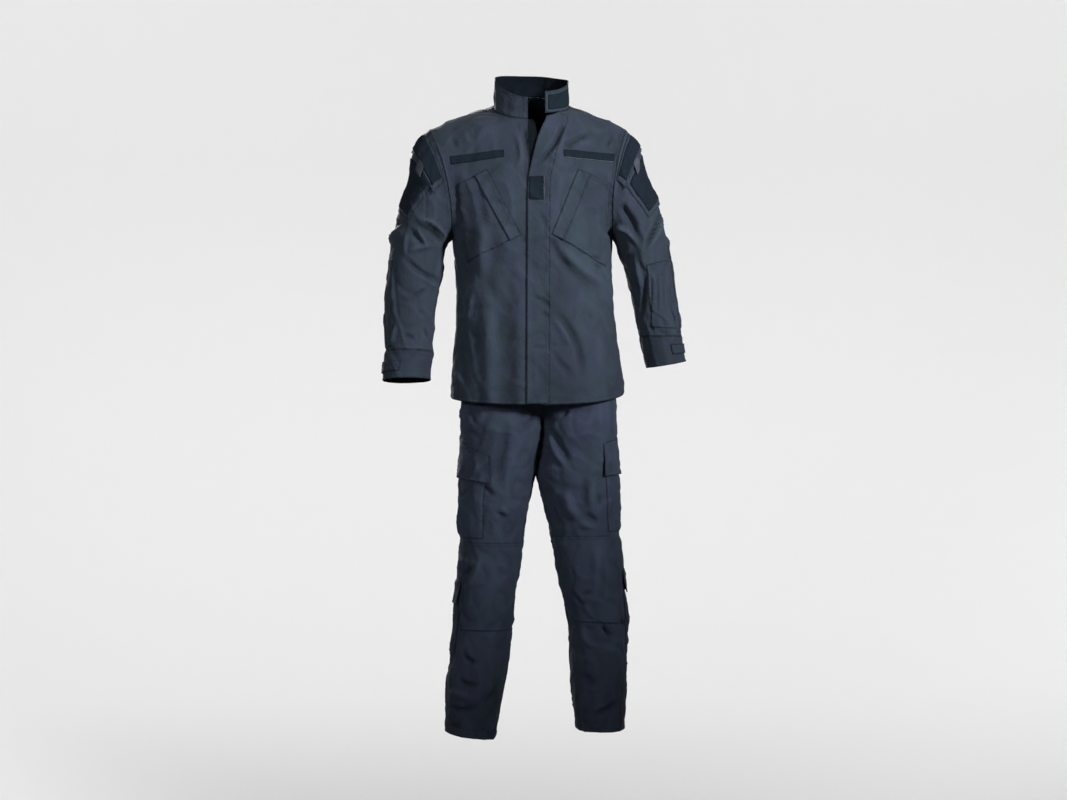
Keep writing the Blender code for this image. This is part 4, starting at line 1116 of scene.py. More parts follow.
def make_wash_and_shade_group() -> NodeTree:
    """Washed cloth with painted shade and highlight, from its place, its map and its fold and edge
    attributes.

    Returns:
        The group. Tone has broad fading, a heathered grain and paler rubbed edges, with darker seams and fold
        troughs as painted shade and paler fold tops as painted highlight.
        Rough is added to a roughness, Height has creases and the puckers along seams, and Tint is 0 to 1.
    """
    values = {"Wear": 0.5, "Fading": 0.30, "Pucker": 0.70, "Crumple": 1.1, "Seam dark": 4.4}
    effect = Effect("washed_cloth", values, ("Tone", "Rough", "Height", "Tint"))
    tree, given = effect.tree, effect.given
    place = tree.add("ShaderNodeTexCoord").outputs["Object"]
    sheet = tree.add("ShaderNodeUVMap", uv_map="cloth").outputs[0]
    edge = tree.add("ShaderNodeAttribute", attribute_name="edge").outputs["Fac"]
    fold = tree.add("ShaderNodeAttribute", attribute_name="fold").outputs["Fac"]
    broad = tree.noise(place, 7.0, 4.0, 0.6)
    ripple = tree.noise(sheet, 95.0, 2.0, 0.5)
    ridged = tree.add("ShaderNodeTexNoise", place, None, 13.0, 3.0, 0.55, noise_type="RIDGED_MULTIFRACTAL")
    patchy = tree.ramp(ripple, 0.35, 0.65, 0.5, 1.0)
    # Painted shade: a dark line close to every sewn edge, for the shade in the seam; the paler band beyond it
    # is wear.
    seam = tree.sum("MULTIPLY", tree.ramp(edge, 0.0020, 0.0042, 1.0, 0.0), patchy)
    worn_and_seam_shade = tree.sum("MULTIPLY", tree.ramp(edge, 0.0040, 0.0088, 1.0, 0.0), patchy)
    worn_and_seam_shade = tree.sum("SUBTRACT", worn_and_seam_shade, tree.sum("MULTIPLY", seam, given["Seam dark"]))
    tone = tree.swing(broad, given["Fading"], 1.0)
    tone = tree.swing(tree.noise(sheet, 900.0, 2.0, 0.6), 0.30, tone)
    tone = tree.swing(tree.noise(sheet, 240.0, 2.0, 0.7), 0.35, tone)
    # Rubbed edges lighten the tone; fold heights lighten fold tops as painted highlight and darken troughs as
    # painted shade.
    for mask, amount in ((worn_and_seam_shade, 0.28), (tree.ramp(fold, -6.0, 7.0, -1.0, 1.0), 0.50)):
        tone = tree.sum("MULTIPLY_ADD", tree.sum("MULTIPLY", mask, given["Wear"]), amount, tone)
    by_seam = tree.sum("MULTIPLY", ripple, tree.ramp(edge, 0.0, 0.014, 1.0, 0.0))
    creases = tree.sum("MULTIPLY", ridged.outputs[0], 0.5)
    crumple = tree.sum("MULTIPLY_ADD", tree.noise(place, 60.0, 3.0, 0.6), 0.35, creases)
    pucker = tree.sum("MULTIPLY", by_seam, given["Pucker"])
    height = tree.sum("MULTIPLY_ADD", crumple, given["Crumple"], pucker)
    tint = tree.ramp(tree.noise(place, 16.0, 3.0, 0.6), 0.35, 0.65)
    rough = tree.sum("MULTIPLY_ADD", broad, 0.10, -0.05)
    return effect.give(Tone=tone, Rough=rough, Height=height, Tint=tint)


def make_pile_group() -> NodeTree:
    """Short looped pile.

    Returns:
        The group. It puts out a height from 0 to 1 and a tone about 1.
    """
    effect = Effect("loop_pile", {"Loop size": 0.0011}, ("Height", "Tone"))
    tree = effect.tree
    sheet = tree.add("ShaderNodeUVMap", uv_map="cloth").outputs[0]
    scale = tree.sum("DIVIDE", 1.0, effect.given["Loop size"])
    tufts = tree.add("ShaderNodeTexVoronoi", sheet, None, scale).outputs[0]
    tangle = tree.noise(sheet, 420.0, 3.0, 0.7)
    height = tree.sum("MULTIPLY_ADD", tufts, 0.6, tree.sum("MULTIPLY", tangle, 0.6))
    return effect.give(Height=height, Tone=tree.swing(tangle, 0.5, 1.0))


def make_speckle_group() -> NodeTree:
    """Fine mottling of thread and metal, by place.

    Returns:
        The group. It puts out a height from 0 to 1 and a tone about 1.
    """
    effect = Effect("speckle", {"Size": 0.004}, ("Height", "Tone"))
    tree = effect.tree
    place = tree.add("ShaderNodeTexCoord").outputs["Object"]
    mottle = tree.noise(place, tree.sum("DIVIDE", 1.0, effect.given["Size"]), 3.0, 0.6)
    return effect.give(Height=mottle, Tone=tree.swing(mottle, 0.5, 1.0))


def principled(name: str) -> tuple:
    """Makes a plain material.

    Args:
        name: Its name.

    Returns:
        The material, its tree and its Principled shader.
    """
    material = bpy.data.materials.new(name)
    material.use_nodes = True
    return material, Tree(material.node_tree), material.node_tree.nodes["Principled BSDF"]


# Painted shade: the inner faces of every cloth piece take their colour times this, for the shade inside the
# garment.
INNER_PAINTED_SHADE = 0.25
CREASE_DEPTH = 0.0060
TINTS = ((1.03, 0.97, 1.04), (0.97, 1.03, 0.96))


class Texture(Enum):
    """The surface pattern of a finish: its node group, and the group's own values."""

    RIPSTOP = ("cloth_weave", {})
    WEBBING = ("cloth_weave", {"Thread_pitch": 0.0014, "Grid": 0.0})
    PILE = ("loop_pile", {})
    THREAD = ("speckle", {"Size": 0.002})
    METAL = ("speckle", {"Size": 0.0015})

    @property
    def woven(self) -> bool:
        """Whether it lies on cloth, with the cloth's map and edges."""
        return self in (Texture.RIPSTOP, Texture.WEBBING, Texture.PILE)


@dataclass(frozen=True)
class Finish:
    """A cloth, thread or metal.

    Attributes:
        slot: The material slot that its material's name begins with.
        colour: Its linear base colour.
        roughness: Its plain roughness.
        texture: Its pattern.
        wear: How far its edges are faded, and how strong its painted shade in seams and fold troughs and its
            painted highlight on fold tops are.
        relief: Depth of its pattern, in metres.
        sheen: Weight of its soft sheen.
        side: Which side of the cloth it is.
    """

    slot: str
    colour: tuple
    roughness: float = 0.85
    texture: Texture = Texture.RIPSTOP
    wear: float = 0.5
    relief: float = 0.00012
    sheen: float = 0.008
    side: str = "outside"

    def inside(self) -> "Finish":
        """The inner side of the same cloth, darkened as painted shade for the shade inside the garment,
        without sheen.
        """
        shade = tuple(INNER_PAINTED_SHADE * part for part in self.colour)
        return replace(self, colour=shade, sheen=0.0, side="inside")

    def material(self) -> Material:
        """The finish as a Blender material, made once.

        Returns:
            The material.
        """
        name = f"{self.slot}_{self.texture.name.lower()}_{self.side}"
        if name in bpy.data.materials:
            return bpy.data.materials[name]
        material, tree, shader = principled(name)
        matt = 0.03 if self.texture is Texture.RIPSTOP and self.side == "outside" else 0.0
        tree.put(shader, Sheen_Weight=self.sheen, Sheen_Roughness=0.55,
                 Specular_IOR_Level=0.30 if self.roughness < 0.5 else matt)
        group, values = self.texture.value
        pattern = tree.add("ShaderNodeGroup", node_tree=bpy.data.node_groups[group])
        tree.put(pattern, **values)
        tone, rough = pattern.outputs["Tone"], tree.sum("MULTIPLY_ADD", pattern.outputs["Tone"], -0.1, 0.1)
        relief = tree.add("ShaderNodeBump", 0.6, self.relief)
        tree.put(relief, Height=pattern.outputs["Height"])
        colour = tree.add("ShaderNodeVectorMath", self.colour, operation="SCALE")
        if self.texture.woven:
            # The washing group adds fading, grain and rubbed edges, with painted shade in seams and fold
            # troughs and painted highlight on fold tops.
            wash_and_shade = tree.add("ShaderNodeGroup", node_tree=bpy.data.node_groups["washed_cloth"])
            tree.put(wash_and_shade, Wear=self.wear)
            tone, rough = tree.sum("MULTIPLY", tone, wash_and_shade.outputs["Tone"]), wash_and_shade.outputs["Rough"]
            seams = tree.add("ShaderNodeBump", 1.0, CREASE_DEPTH)
            tree.put(relief, Normal=tree.put(seams, Height=wash_and_shade.outputs["Height"]))
            tinted = tree.add("ShaderNodeMix", wash_and_shade.outputs["Tint"], data_type="VECTOR")
            for socket, tint in zip(tinted.inputs[4:6], TINTS):
                tree.fill(socket, tuple(part * share for part, share in zip(self.colour, tint)))
            tree.fill(colour.inputs[0], tinted.outputs[1])
        tree.put(colour, Scale=tone)
        rough = tree.sum("ADD", rough, self.roughness)
        tree.put(shader, Base_Color=colour.outputs[0], Roughness=rough, Normal=relief.outputs[0])
        return material


JACKET = Finish("jacket_twill", (0.0068, 0.0094, 0.0139))
TROUSERS = Finish("trouser_twill", (0.0088, 0.0118, 0.0190))
LOOPS = Finish("loop_field", (0.0026, 0.0042, 0.0061), 0.95, Texture.PILE, 0.3, 0.0005)
# The zip tape is near black: partly the tape's own dark colour, partly painted shade for the shade in the
# closure's opening.
ZIP_TAPE_PAINTED_SHADE = Finish("zip_tape", (0.0016, 0.0022, 0.0031), 0.8, Texture.WEBBING, 0.3, 0.0002)
PULLS = Finish("pull_tab", (0.0140, 0.0165, 0.0205), 0.75, Texture.WEBBING, 0.3, 0.0003)
JACKET_THREAD = Finish("jacket_twill", (0.0040, 0.0060, 0.0085), 0.6, Texture.THREAD, 0.0, 0.0001)
TROUSER_THREAD = Finish("trouser_twill", (0.0040, 0.0052, 0.0085), 0.6, Texture.THREAD, 0.0, 0.0001)
# Painted highlight: pale thread beads along one lit edge of a loop field, for the light on that edge.
EDGE_HIGHLIGHT = Finish("jacket_twill", (0.034, 0.042, 0.050), 0.8, Texture.THREAD, 0.0, 0.0001, side="trim")
ZIP_METAL = Finish("zip_slider", (0.014, 0.015, 0.017), 0.42, Texture.METAL, 0.0, 0.00003, 0.0)
TEETH = Finish("zip_tape", (0.0030, 0.0035, 0.0045), 0.60, Texture.METAL, 0.0, 0.00003, 0.0)


# ---- cloth pieces

PRESS_WIDTH = 0.0016
BEAD_RISE = 0.0012
BEAD_BEFORE_ROW = 0.0008
BEAD_FALL = 0.0010
GROOVE_DEPTH = 0.0004
GROOVE_WIDTH = 0.0009
EDGE_MARKS = (0.0008, 0.0018)
ROW_MARKS = (-0.0011, 0.0, 0.0011)
TUCK_MARKS = (0.4, 0.7, 1.0)
CLOSEST_LINES = 0.0004
SEAM_REACH = 0.002
THREAD_LIFT = 0.0001
# Place, lift, pitch and bead size of the painted highlight rows on loop fields.
EDGE_HIGHLIGHT_IN = 0.0005
EDGE_HIGHLIGHT_LIFT = 0.0006
EDGE_HIGHLIGHT_PITCH = 0.0016
EDGE_HIGHLIGHT_SIZE = (0.0005, 0.0005, 0.0018)


class Trim(NamedTuple):
    """An edge's finish, in metres.

    It says how far the edge is pressed in, how far the cloth stands between it and its first stitches, the
    distances of its stitch rows, and over what width a patch comes down to its panel.
    """

    press: float
    bead: float
    rows: tuple
    tuck: float


class Sewn(Enum):
    """How an edge of a piece is finished."""

    PLAIN = Trim(0.0, 0.0, (), 0.0)
    JOINED = Trim(0.0009, 0.0, (), 0.0)
    FELLED = Trim(0.0009, 0.0005, (0.0020, 0.0085), 0.0)
    TOPSTITCHED = Trim(0.0005, 0.0004, (0.0020,), 0.0)
    HEM = Trim(0.0004, 0.0005, (0.0200,), 0.0)
    NARROW_HEM = Trim(0.0004, 0.0005, (0.0075,), 0.0)
    SEWN_DOWN = Trim(0.0004, 0.0003, (0.0018, 0.0080), 0.0050)
    BELLOWS = Trim(0.0003, 0.0002, (0.0018,), 0.0110)
    BOUND = Trim(0.0003, 0.0, (0.0016,), 0.0030)
    TURNED = Trim(0.0004, 0.0004, (0.0050,), 0.0)

    def profile(self, distance: Array) -> Array:
        """Heights that the finish adds.

        Args:
            distance: Distances from the edge.

        Returns:
            The heights.
        """
        trim = self.value
        found = -trim.press * (1 - eased(distance / PRESS_WIDTH))
        if trim.rows:
            fall = eased((distance - trim.rows[0] + BEAD_BEFORE_ROW) / BEAD_FALL)
            found = found + trim.bead * eased(distance / BEAD_RISE) * (1 - fall)
        for row in trim.rows:
            found = found - GROOVE_DEPTH * np.exp(-(((distance - row) / GROOVE_WIDTH) ** 2))
        return found


def grid_lines(length: float, pitch: float, start: Sewn, end: Sewn) -> Array:
    """Places of a grid's lines along one side, closer together at stitch rows and edges.

    Args:
        length: The side's length.
        pitch: The widest step.
        start: Finish of the edge at the side's start.
        end: Finish of the edge at its end.

    Returns:
        Distances from 0 to the length.
    """
    marks = {0.0, length}
    for sewn, from_end in ((start, False), (end, True)):
        near = [*EDGE_MARKS] if sewn is not Sewn.PLAIN else []
        near += [row + shift for row in sewn.value.rows for shift in ROW_MARKS]
        near += [sewn.value.tuck * share for share in TUCK_MARKS if sewn.value.tuck]
        marks |= {length - mark if from_end else mark for mark in near if 0 < mark < length * 0.48}
    kept = [0.0]
    for mark in sorted(marks)[1:]:
        if mark - kept[-1] > CLOSEST_LINES:
            kept.append(mark)
    kept[-1] = length
    lines = []
    for low, high in zip(kept, kept[1:]):
        count = max(1, math.ceil((high - low) / pitch))
        lines += [low + (high - low) * i / count for i in range(count)]
    return np.array(lines + [length])


class Cloth:
    """A grid of cloth on a surface, with its outward directions, map and distances from its four edges."""

    def __init__(self, surface: Surface, place: Callable, edges: tuple, pitch: float = 0.005,
                 beside: "Cloth | None" = None, through: float = 0.0) -> None:
        """Cuts the grid.

        Args:
            surface: What it lies on.
            place: Turns shares down and over into the surface's two coordinates.
            edges: Finishes of its top, bottom, start and end edges.
            pitch: Its widest step.
            beside: The grid that its start edge joins, whose rows it shares.
            through: Share down at which a row must lie.
        """
        self.edges = edges
        shares = np.linspace(0, 1, 41)
        rough = surface.points(*place(*np.meshgrid(shares, shares, indexing="ij")))
        lines = []
        for axis, (start, end) in enumerate((edges[:2], edges[2:])):
            steps = np.linalg.norm(np.diff(rough, axis=axis), axis=-1).mean(axis=1 - axis)
            run = np.append(0, steps.cumsum())
            lines.append(np.interp(grid_lines(run[-1], pitch, start, end), run, shares))
        lines[0][np.abs(lines[0] - through).argmin()] = through
        if beside is not None:
            lines[0] = beside.down[:, 0]
        self.down, self.over = np.meshgrid(*lines, indexing="ij")
        first, second = place(self.down, self.over)
        self.plain = surface.points(first, second)
        if beside is not None:
            meet = np.linalg.norm(self.plain[:, 0] - beside.plain[:, 0], axis=-1) < SEAM_REACH
            self.plain[meet, 0] = beside.plain[meet, 0]
        normals = unit(np.cross(np.gradient(self.plain, axis=0), np.gradient(self.plain, axis=1)))
        self.turned = np.sum(normals * (self.plain - surface.middles(first, second))) < 0
        self.normals = -normals if self.turned else normals
        runs = []
        for axis in (0, 1):
            steps = np.linalg.norm(np.diff(self.plain, axis=axis), axis=-1)
            runs.append(np.insert(steps.cumsum(axis=axis), 0, 0, axis=axis))
        down, over = runs
        self.away = [down, down[-1:] - down, over, over[:, -1:] - over]
        self.sheet = np.stack([over - over[:, over.shape[1] // 2][:, None], down], axis=-1)

    def lay(self, drape: Drape, height: Number = 0.0, low: float = 0.0) -> "Cloth":
        """Moves the points out by their height, their edges' finishes and the surface's folds.

        Args:
            drape: The surface's folds.
            height: Height of the outer face off the plain surface.
            low: The same at edges that are sewn down.

        Returns:
            Itself.
        """
        height = height + self.down * 0
        for sewn, distance in zip(self.edges, self.away):
            if sewn.value.tuck:
                height = low + (height - low) * eased(distance / sewn.value.tuck)
        for sewn, distance in zip(self.edges, self.away):
            height = height + sewn.profile(distance)
        self.folds = drape.heights(self.plain)
        self.points = self.plain + self.normals * (height + self.folds)[..., None]
        return self

    def size(self) -> tuple:
        """Size of the cut, from the plain surface.

        Returns:
            Its width, length and area.
        """
        a = self.plain[1:, 1:] - self.plain[:-1, :-1]
        b = self.plain[1:, :-1] - self.plain[:-1, 1:]
        area = float(np.linalg.norm(np.cross(a, b), axis=-1).sum() / 2)
        return float(self.away[2].max()), float(self.away[0].max()), area

    def faces(self) -> Array:
        """Its quads, facing outwards.

        Returns:
            Four point numbers for each.
        """
        rows, columns = self.down.shape
        index = np.arange(rows * columns).reshape(rows, columns)
        round_it = index[:-1, :-1], index[1:, :-1], index[1:, 1:], index[:-1, 1:]
        quads = np.stack(round_it, axis=-1).reshape(-1, 4)
        return quads[:, ::-1] if self.turned else quads

    def nearest_edge(self) -> Array:
        """Distance of each point from its nearest finished edge."""
        real = [away for sewn, away in zip(self.edges, self.away) if sewn is not Sewn.PLAIN]
        return np.minimum.reduce(real) if real else self.down * 0 + 1

    def at(self, row: Array, column: Array, values: Array) -> Array:
        """Values between grid lines.

        Args:
            row: Places in rows.
            column: Places in columns.
            values: Values at each point of the grid.

        Returns:
            The values there.
        """
        i = np.clip(row.astype(int), 0, values.shape[0] - 2)
        j = np.clip(column.astype(int), 0, values.shape[1] - 2)
        u, v = (row - i)[:, None], (column - j)[:, None]
        return mix(mix(values[i, j], values[i, j + 1], v), mix(values[i + 1, j], values[i + 1, j + 1], v), u)

    def stitch_lines(self, lift: float) -> list:
        """Stitch rows along all its edges.

        Args:
            lift: How far they stand off the cloth.

        Returns:
            An array of points for each row.
        """
        return [
            line
            for index, sewn in enumerate(self.edges)
            for distance in sewn.value.rows
            for line in self.row_of(index, distance, lift)
        ]

    def row_of(self, index: int, distance: float, lift: float) -> list:
        """One stitch row along an edge, stopping short of the rows that it meets.

        Args:
            index: The edge's number.
            distance: Distance from it.
            lift: How far the row stands off the cloth.

        Returns:
            Its points as one array in a list, or nothing.
        """
        across = index < 2
        away = self.away[index] if across else self.away[index].T
        steps = np.arange(away.shape[1], dtype=float)
        order = slice(None) if index in (0, 2) else slice(None, None, -1)
        lines = np.arange(away.shape[0], dtype=float)[order]
        place = np.array([np.interp(distance, away[order, k], lines) for k in range(away.shape[1])])
        row, column = (place, steps) if across else (steps, place)
        inside = np.ones(len(steps), bool)
        for other in (2, 3) if across else (0, 1):
            margin = min(self.edges[other].value.rows, default=0.0006)
            inside &= self.at(row, column, self.away[other][..., None])[:, 0] >= margin
        if inside.sum() < 2:
            return []
        normals = unit(self.at(row, column, self.normals)[inside])
        return [self.at(row, column, self.points)[inside] + normals * lift]


class Workshop:
    """Makes the pieces and keeps the lines that their stitches follow."""

    def __init__(self) -> None:
        """Makes the shared node groups and the stitching tree."""
        for make in (make_weave_group, make_wash_and_shade_group, make_pile_group, make_speckle_group):
            make()
        self.threads: dict = {}
        self.rows_tree = self.make_rows_tree()

    def piece(self, node: str, cloths: list, wall: float, finish: Finish, thread: str = "") -> None:
        """Args:
            node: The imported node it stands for.
            cloths: Its grids.
            wall: Its thickness.
            finish: Its finish.
            thread: Name of the stitching that its rows belong to, or nothing for no stitches.
        """
        def joined(name: Callable, width: int) -> Array:
            """Values of every grid's points, in rows of this width."""
            return np.concatenate([name(cloth).reshape(-1, width) for cloth in cloths])

        starts = np.cumsum([0] + [cloth.down.size for cloth in cloths])
        faces = np.concatenate([cloth.faces() + start for cloth, start in zip(cloths, starts)])
        keys = np.round(joined(lambda cloth: cloth.plain, 3) * 1e5).astype(np.int64)
        _, same = np.unique(keys, axis=0, return_inverse=True)
        same = same.ravel()
        count = np.bincount(same)

        def merged(values: Array) -> Array:
            """Mean values where points are the same."""
            return np.stack([np.bincount(same, weights=column) / count for column in values.T], axis=-1)

        mesh = bpy.data.meshes.new(node)
        mesh.from_pydata(merged(joined(lambda cloth: cloth.points, 3)).tolist(), [], same[faces].tolist())
        sheet = joined(lambda cloth: cloth.sheet, 2)[faces.ravel()]
        mesh.uv_layers.new(name="cloth").data.foreach_set("uv", sheet.ravel())
        for name, values in (
            ("fold", joined(lambda cloth: cloth.folds * 1000, 1)),
            ("edge", joined(lambda cloth: cloth.nearest_edge(), 1)),
        ):
            mesh.attributes.new(name, "FLOAT", "POINT").data.foreach_set("value", merged(values).ravel())
        mesh.shade_smooth()
        mesh.materials.append(finish.material())
        # The inner faces get the darker inner material: painted shade for the shade inside the garment.
        mesh.materials.append(finish.inside().material())
        made = shown(f"cloth_{node}", mesh)
        thick = made.modifiers.new("wall", "SOLIDIFY")
        thick.thickness, thick.offset, thick.material_offset = wall, -1, 1
        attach(made, "root")
        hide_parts(node)
        sizes = np.array([cloth.size() for cloth in cloths])
        width, length = round(float(sizes[:, 0].sum()), 3), round(float(sizes[:, 1].max()), 3)
        area = round(min(float(sizes[:, 2].sum()), width * length), 5)
        if thread:
            lines = self.threads.setdefault(thread, [])
            lines.extend(line for cloth in cloths for line in cloth.stitch_lines(THREAD_LIFT))
        LOG.info("%s: %d points, cut %.3f x %.3f m", node, len(count), width, length)

    def make_rows_tree(self) -> NodeTree:
        """Geometry Nodes tree that sets one small form along lines, at an even pitch.

        Returns:
            The tree. Its inputs are the form's pitch and half sizes, its kind and its material.
        """
        group = bpy.data.node_groups.new("row_along_lines", "GeometryNodeTree")
        for label, kind, value in (
            ("Geometry", "NodeSocketGeometry", None), ("Pitch", "NodeSocketFloat", 0.0036),
            ("Half size", "NodeSocketVector", (0.0003, 0.0003, 0.0013)), ("Boxes", "NodeSocketBool", False),
            ("Material", "NodeSocketMaterial", None),
        ):
            socket = group.interface.new_socket(label, in_out="INPUT", socket_type=kind)
            if value is not None:
                socket.default_value = value
        group.interface.new_socket("Geometry", in_out="OUTPUT", socket_type="NodeSocketGeometry")
        tree = Tree(group)
        given = tree.add("NodeGroupInput").outputs
        curve = tree.add("GeometryNodeMeshToCurve", given["Geometry"]).outputs[0]
        even = tree.put(tree.add("GeometryNodeResampleCurve", curve, mode="LENGTH"), Length=given["Pitch"])
        bead = tree.add("GeometryNodeMeshUVSphere", 5, 3, 1.0).outputs[0]
        box = tree.add("GeometryNodeMeshCube", (2.0, 2.0, 2.0)).outputs[0]
        form = tree.add("GeometryNodeSwitch", given["Boxes"], bead, box, input_type="GEOMETRY").outputs[0]
        tangent = tree.add("GeometryNodeInputTangent").outputs[0]
        outward = tree.add("GeometryNodeInputNamedAttribute", "outward", data_type="FLOAT_VECTOR").outputs[0]
        turn = tree.put(tree.add("FunctionNodeAlignRotationToVector", axis="Z"), Vector=tangent)
        turn = tree.add("FunctionNodeAlignRotationToVector", turn, axis="Y", pivot_axis="Z")
        tree.put(turn, Vector=outward)
        placed = tree.add("GeometryNodeInstanceOnPoints", even)
        tree.put(placed, Instance=form, Rotation=turn.outputs[0], Scale=given["Half size"])
        real = tree.add("GeometryNodeRealizeInstances", placed.outputs[0]).outputs[0]
        dressed = tree.add("GeometryNodeSetMaterial", real)
        tree.put(dressed, Material=given["Material"])
        tree.add("NodeGroupOutput", dressed.outputs[0])
        return group

    def rows(self, name: str, lines: list, finish: Finish, outward: list | None = None,
             **values: object) -> None:
        """Sets small forms along lines and makes them one plain mesh.

        Args:
            name: The piece's name.
            lines: Arrays of points.
            finish: Its finish.
            outward: For each line the outward directions, or nothing where the forms are round.
            values: Values of the tree's inputs by name, with _ for a space.
        """
        starts = np.cumsum([0] + [len(line) for line in lines])
        spans = [start + np.arange(len(line) - 1) for line, start in zip(lines, starts)]
        edges = [(i, i + 1) for span in spans for i in span.tolist()]
        path = bpy.data.meshes.new(name)
        path.from_pydata(np.concatenate(lines).tolist(), edges, [])
        directions = np.concatenate(outward) if outward else np.tile((0.0, -1.0, 0.0), (int(starts[-1]), 1))
        path.attributes.new("outward", "FLOAT_VECTOR", "POINT").data.foreach_set("vector", directions.ravel())
        source = shown(name, path)
        modifier = source.modifiers.new("rows", "NODES")
        modifier.node_group = self.rows_tree
        sockets = {item.name: item.identifier for item in self.rows_tree.interface.items_tree
                   if item.in_out == "INPUT"}
        modifier[sockets["Material"]] = finish.material()
        for label, value in values.items():
            modifier[sockets[label.replace("_", " ")]] = value
        ready = source.evaluated_get(bpy.context.evaluated_depsgraph_get())
        mesh = bpy.data.meshes.new_from_object(ready)
        source.modifiers.clear()
        source.data = mesh
        bpy.data.meshes.remove(path)
        if not values.get("Boxes"):
            mesh.shade_smooth()
        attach(source, "root")
        LOG.info("%s: %d faces", name, len(mesh.polygons))

    def stitch(self) -> None:
        """Sews every stitch row that the pieces left."""
        for name, lines in self.threads.items():
            # The pale rows along lit edges of loop fields are painted highlight.
            if name == "edging":
                self.rows(name, lines, EDGE_HIGHLIGHT, Pitch=EDGE_HIGHLIGHT_PITCH, Half_size=EDGE_HIGHLIGHT_SIZE)
            else:
                finish = TROUSER_THREAD if name.startswith("trouser") else JACKET_THREAD
                self.rows(f"stitches_{name}", lines, finish)


# ---- sewn pieces

class MakeUp(NamedTuple):
    """How a patch is made up.

    Heights are of its outer face at its first and far edges, and low where an edge is sewn down. Puff is how
    much further its middle stands off. Edges are its top, bottom, first and far ones.
    """

    height: float
    far_height: float
    puff: float
    edges: tuple
    low: float = 0.0012
    finish: Finish = JACKET
    wall: float = WALL
    pitch: float = 0.005


class Patch(NamedTuple):
    """Cloth sewn on a surface, with four corners: two along its first edge, then two along its far edge.

    Corners run top, bottom, far bottom, far top. The last field is the number of the edge that gets a pale
    row as a painted highlight, or -1.
    """

    node: str
    make_up: MakeUp
    corners: tuple
    edging: int = -1

    def place(self, down: Array, over: Array) -> tuple:
        """Places on the surface.

        Args:
            down: Shares down the patch.
            over: Shares over it.

        Returns:
            Both coordinates.
        """
        top, bottom, far_bottom, far_top = self.corners
        return tuple(
            mix(mix(top[i], bottom[i], down), mix(far_top[i], far_bottom[i], down), over) for i in range(2)
        )

    def sew(self, shop: Workshop, surface: Surface, drape: Drape, thread: str) -> None:
        """Makes the patch.

        Args:
            shop: Makes its mesh.
            surface: What it is sewn on.
            drape: That surface's folds.
            thread: Name of the stitching that its rows join.
        """
        make = self.make_up
        cloth = Cloth(surface, self.place, make.edges, make.pitch)
        crown = make.puff * np.sqrt(np.abs(np.sin(np.pi * cloth.down) * np.sin(np.pi * cloth.over)))
        height = mix(make.height, make.far_height, cloth.over) + crown * drape.slack(cloth.plain)
        shop.piece(self.node, [cloth.lay(drape, height, make.low)], make.wall, make.finish, thread)
        # Painted highlight: a pale row just inside the chosen edge.
        if self.edging >= 0:
            shop.threads.setdefault("edging", []).extend(cloth.row_of(self.edging, EDGE_HIGHLIGHT_IN, EDGE_HIGHLIGHT_LIFT))


PLAIN, JOINED, FELLED, TOP = Sewn.PLAIN, Sewn.JOINED, Sewn.FELLED, Sewn.TOPSTITCHED
DOWN, BOUND, TURNED, BELLOWS = Sewn.SEWN_DOWN, Sewn.BOUND, Sewn.TURNED, Sewn.BELLOWS
FLAP = (TURNED, TURNED, TOP, TURNED)
FIELD = (BOUND, BOUND, BOUND, BOUND)
ALL_DOWN = (DOWN, DOWN, DOWN, DOWN)
FULL_BAG = (BELLOWS, BELLOWS, PLAIN, BELLOWS)

CHEST_BAG = MakeUp(0.0022, 0.0026, 0.0022, (DOWN, DOWN, PLAIN, DOWN))
CHEST_FLAP = MakeUp(0.0013, 0.0062, 0.0, FLAP)
NAME_FIELD = MakeUp(0.0015, 0.0015, 0.0, FIELD, 0.0011, LOOPS, TAPE_WALL)
RANK_FIELD = MakeUp(0.0066, 0.0046, 0.0, FIELD, 0.0056, LOOPS, TAPE_WALL)
COLLAR_FIELD = MakeUp(0.0016, 0.0016, 0.0, FIELD, 0.0011, LOOPS, TAPE_WALL)
SLEEVE_BAG = MakeUp(0.0026, 0.0030, 0.0005, (PLAIN, DOWN, DOWN, DOWN))
SLEEVE_FLAP = MakeUp(0.0014, 0.0064, 0.0, FLAP)
FLAP_FIELD = MakeUp(0.0036, 0.0080, 0.0, FIELD, 0.0034, LOOPS, TAPE_WALL)
POCKET_FIELD = MakeUp(0.0056, 0.0050, 0.0, FIELD, 0.0046, LOOPS, TAPE_WALL)
PULL_TAB = MakeUp(0.0090, 0.0094, 0.0, (PLAIN, PLAIN, TOP, PLAIN), 0.0090, PULLS, TAPE_WALL, 0.003)
ELBOW_PATCH = MakeUp(0.0015, 0.0015, 0.0, ALL_DOWN)
CUFF_TAB = MakeUp(0.0024, 0.0036, 0.0, (TOP, TOP, TOP, TOP), pitch=0.004)
PEN_POCKET = MakeUp(0.0020, 0.0020, 0.0, (TURNED, DOWN, DOWN, DOWN), pitch=0.0025)
CARGO_BAG = MakeUp(0.0034, 0.0044, 0.0036, FULL_BAG, finish=TROUSERS)
CARGO_FLAP = MakeUp(0.0016, 0.0096, 0.0, FLAP, finish=TROUSERS)
KNEE_PATCH = MakeUp(0.0018, 0.0018, 0.0, ALL_DOWN, finish=TROUSERS)
CALF_BAG = MakeUp(0.0030, 0.0036, 0.0035, FULL_BAG, finish=TROUSERS)
CALF_FLAP = MakeUp(0.0016, 0.0092, 0.0, FLAP, finish=TROUSERS)
FLY = MakeUp(0.0016, 0.0016, 0.0, (PLAIN, DOWN, PLAIN, DOWN), finish=TROUSERS)

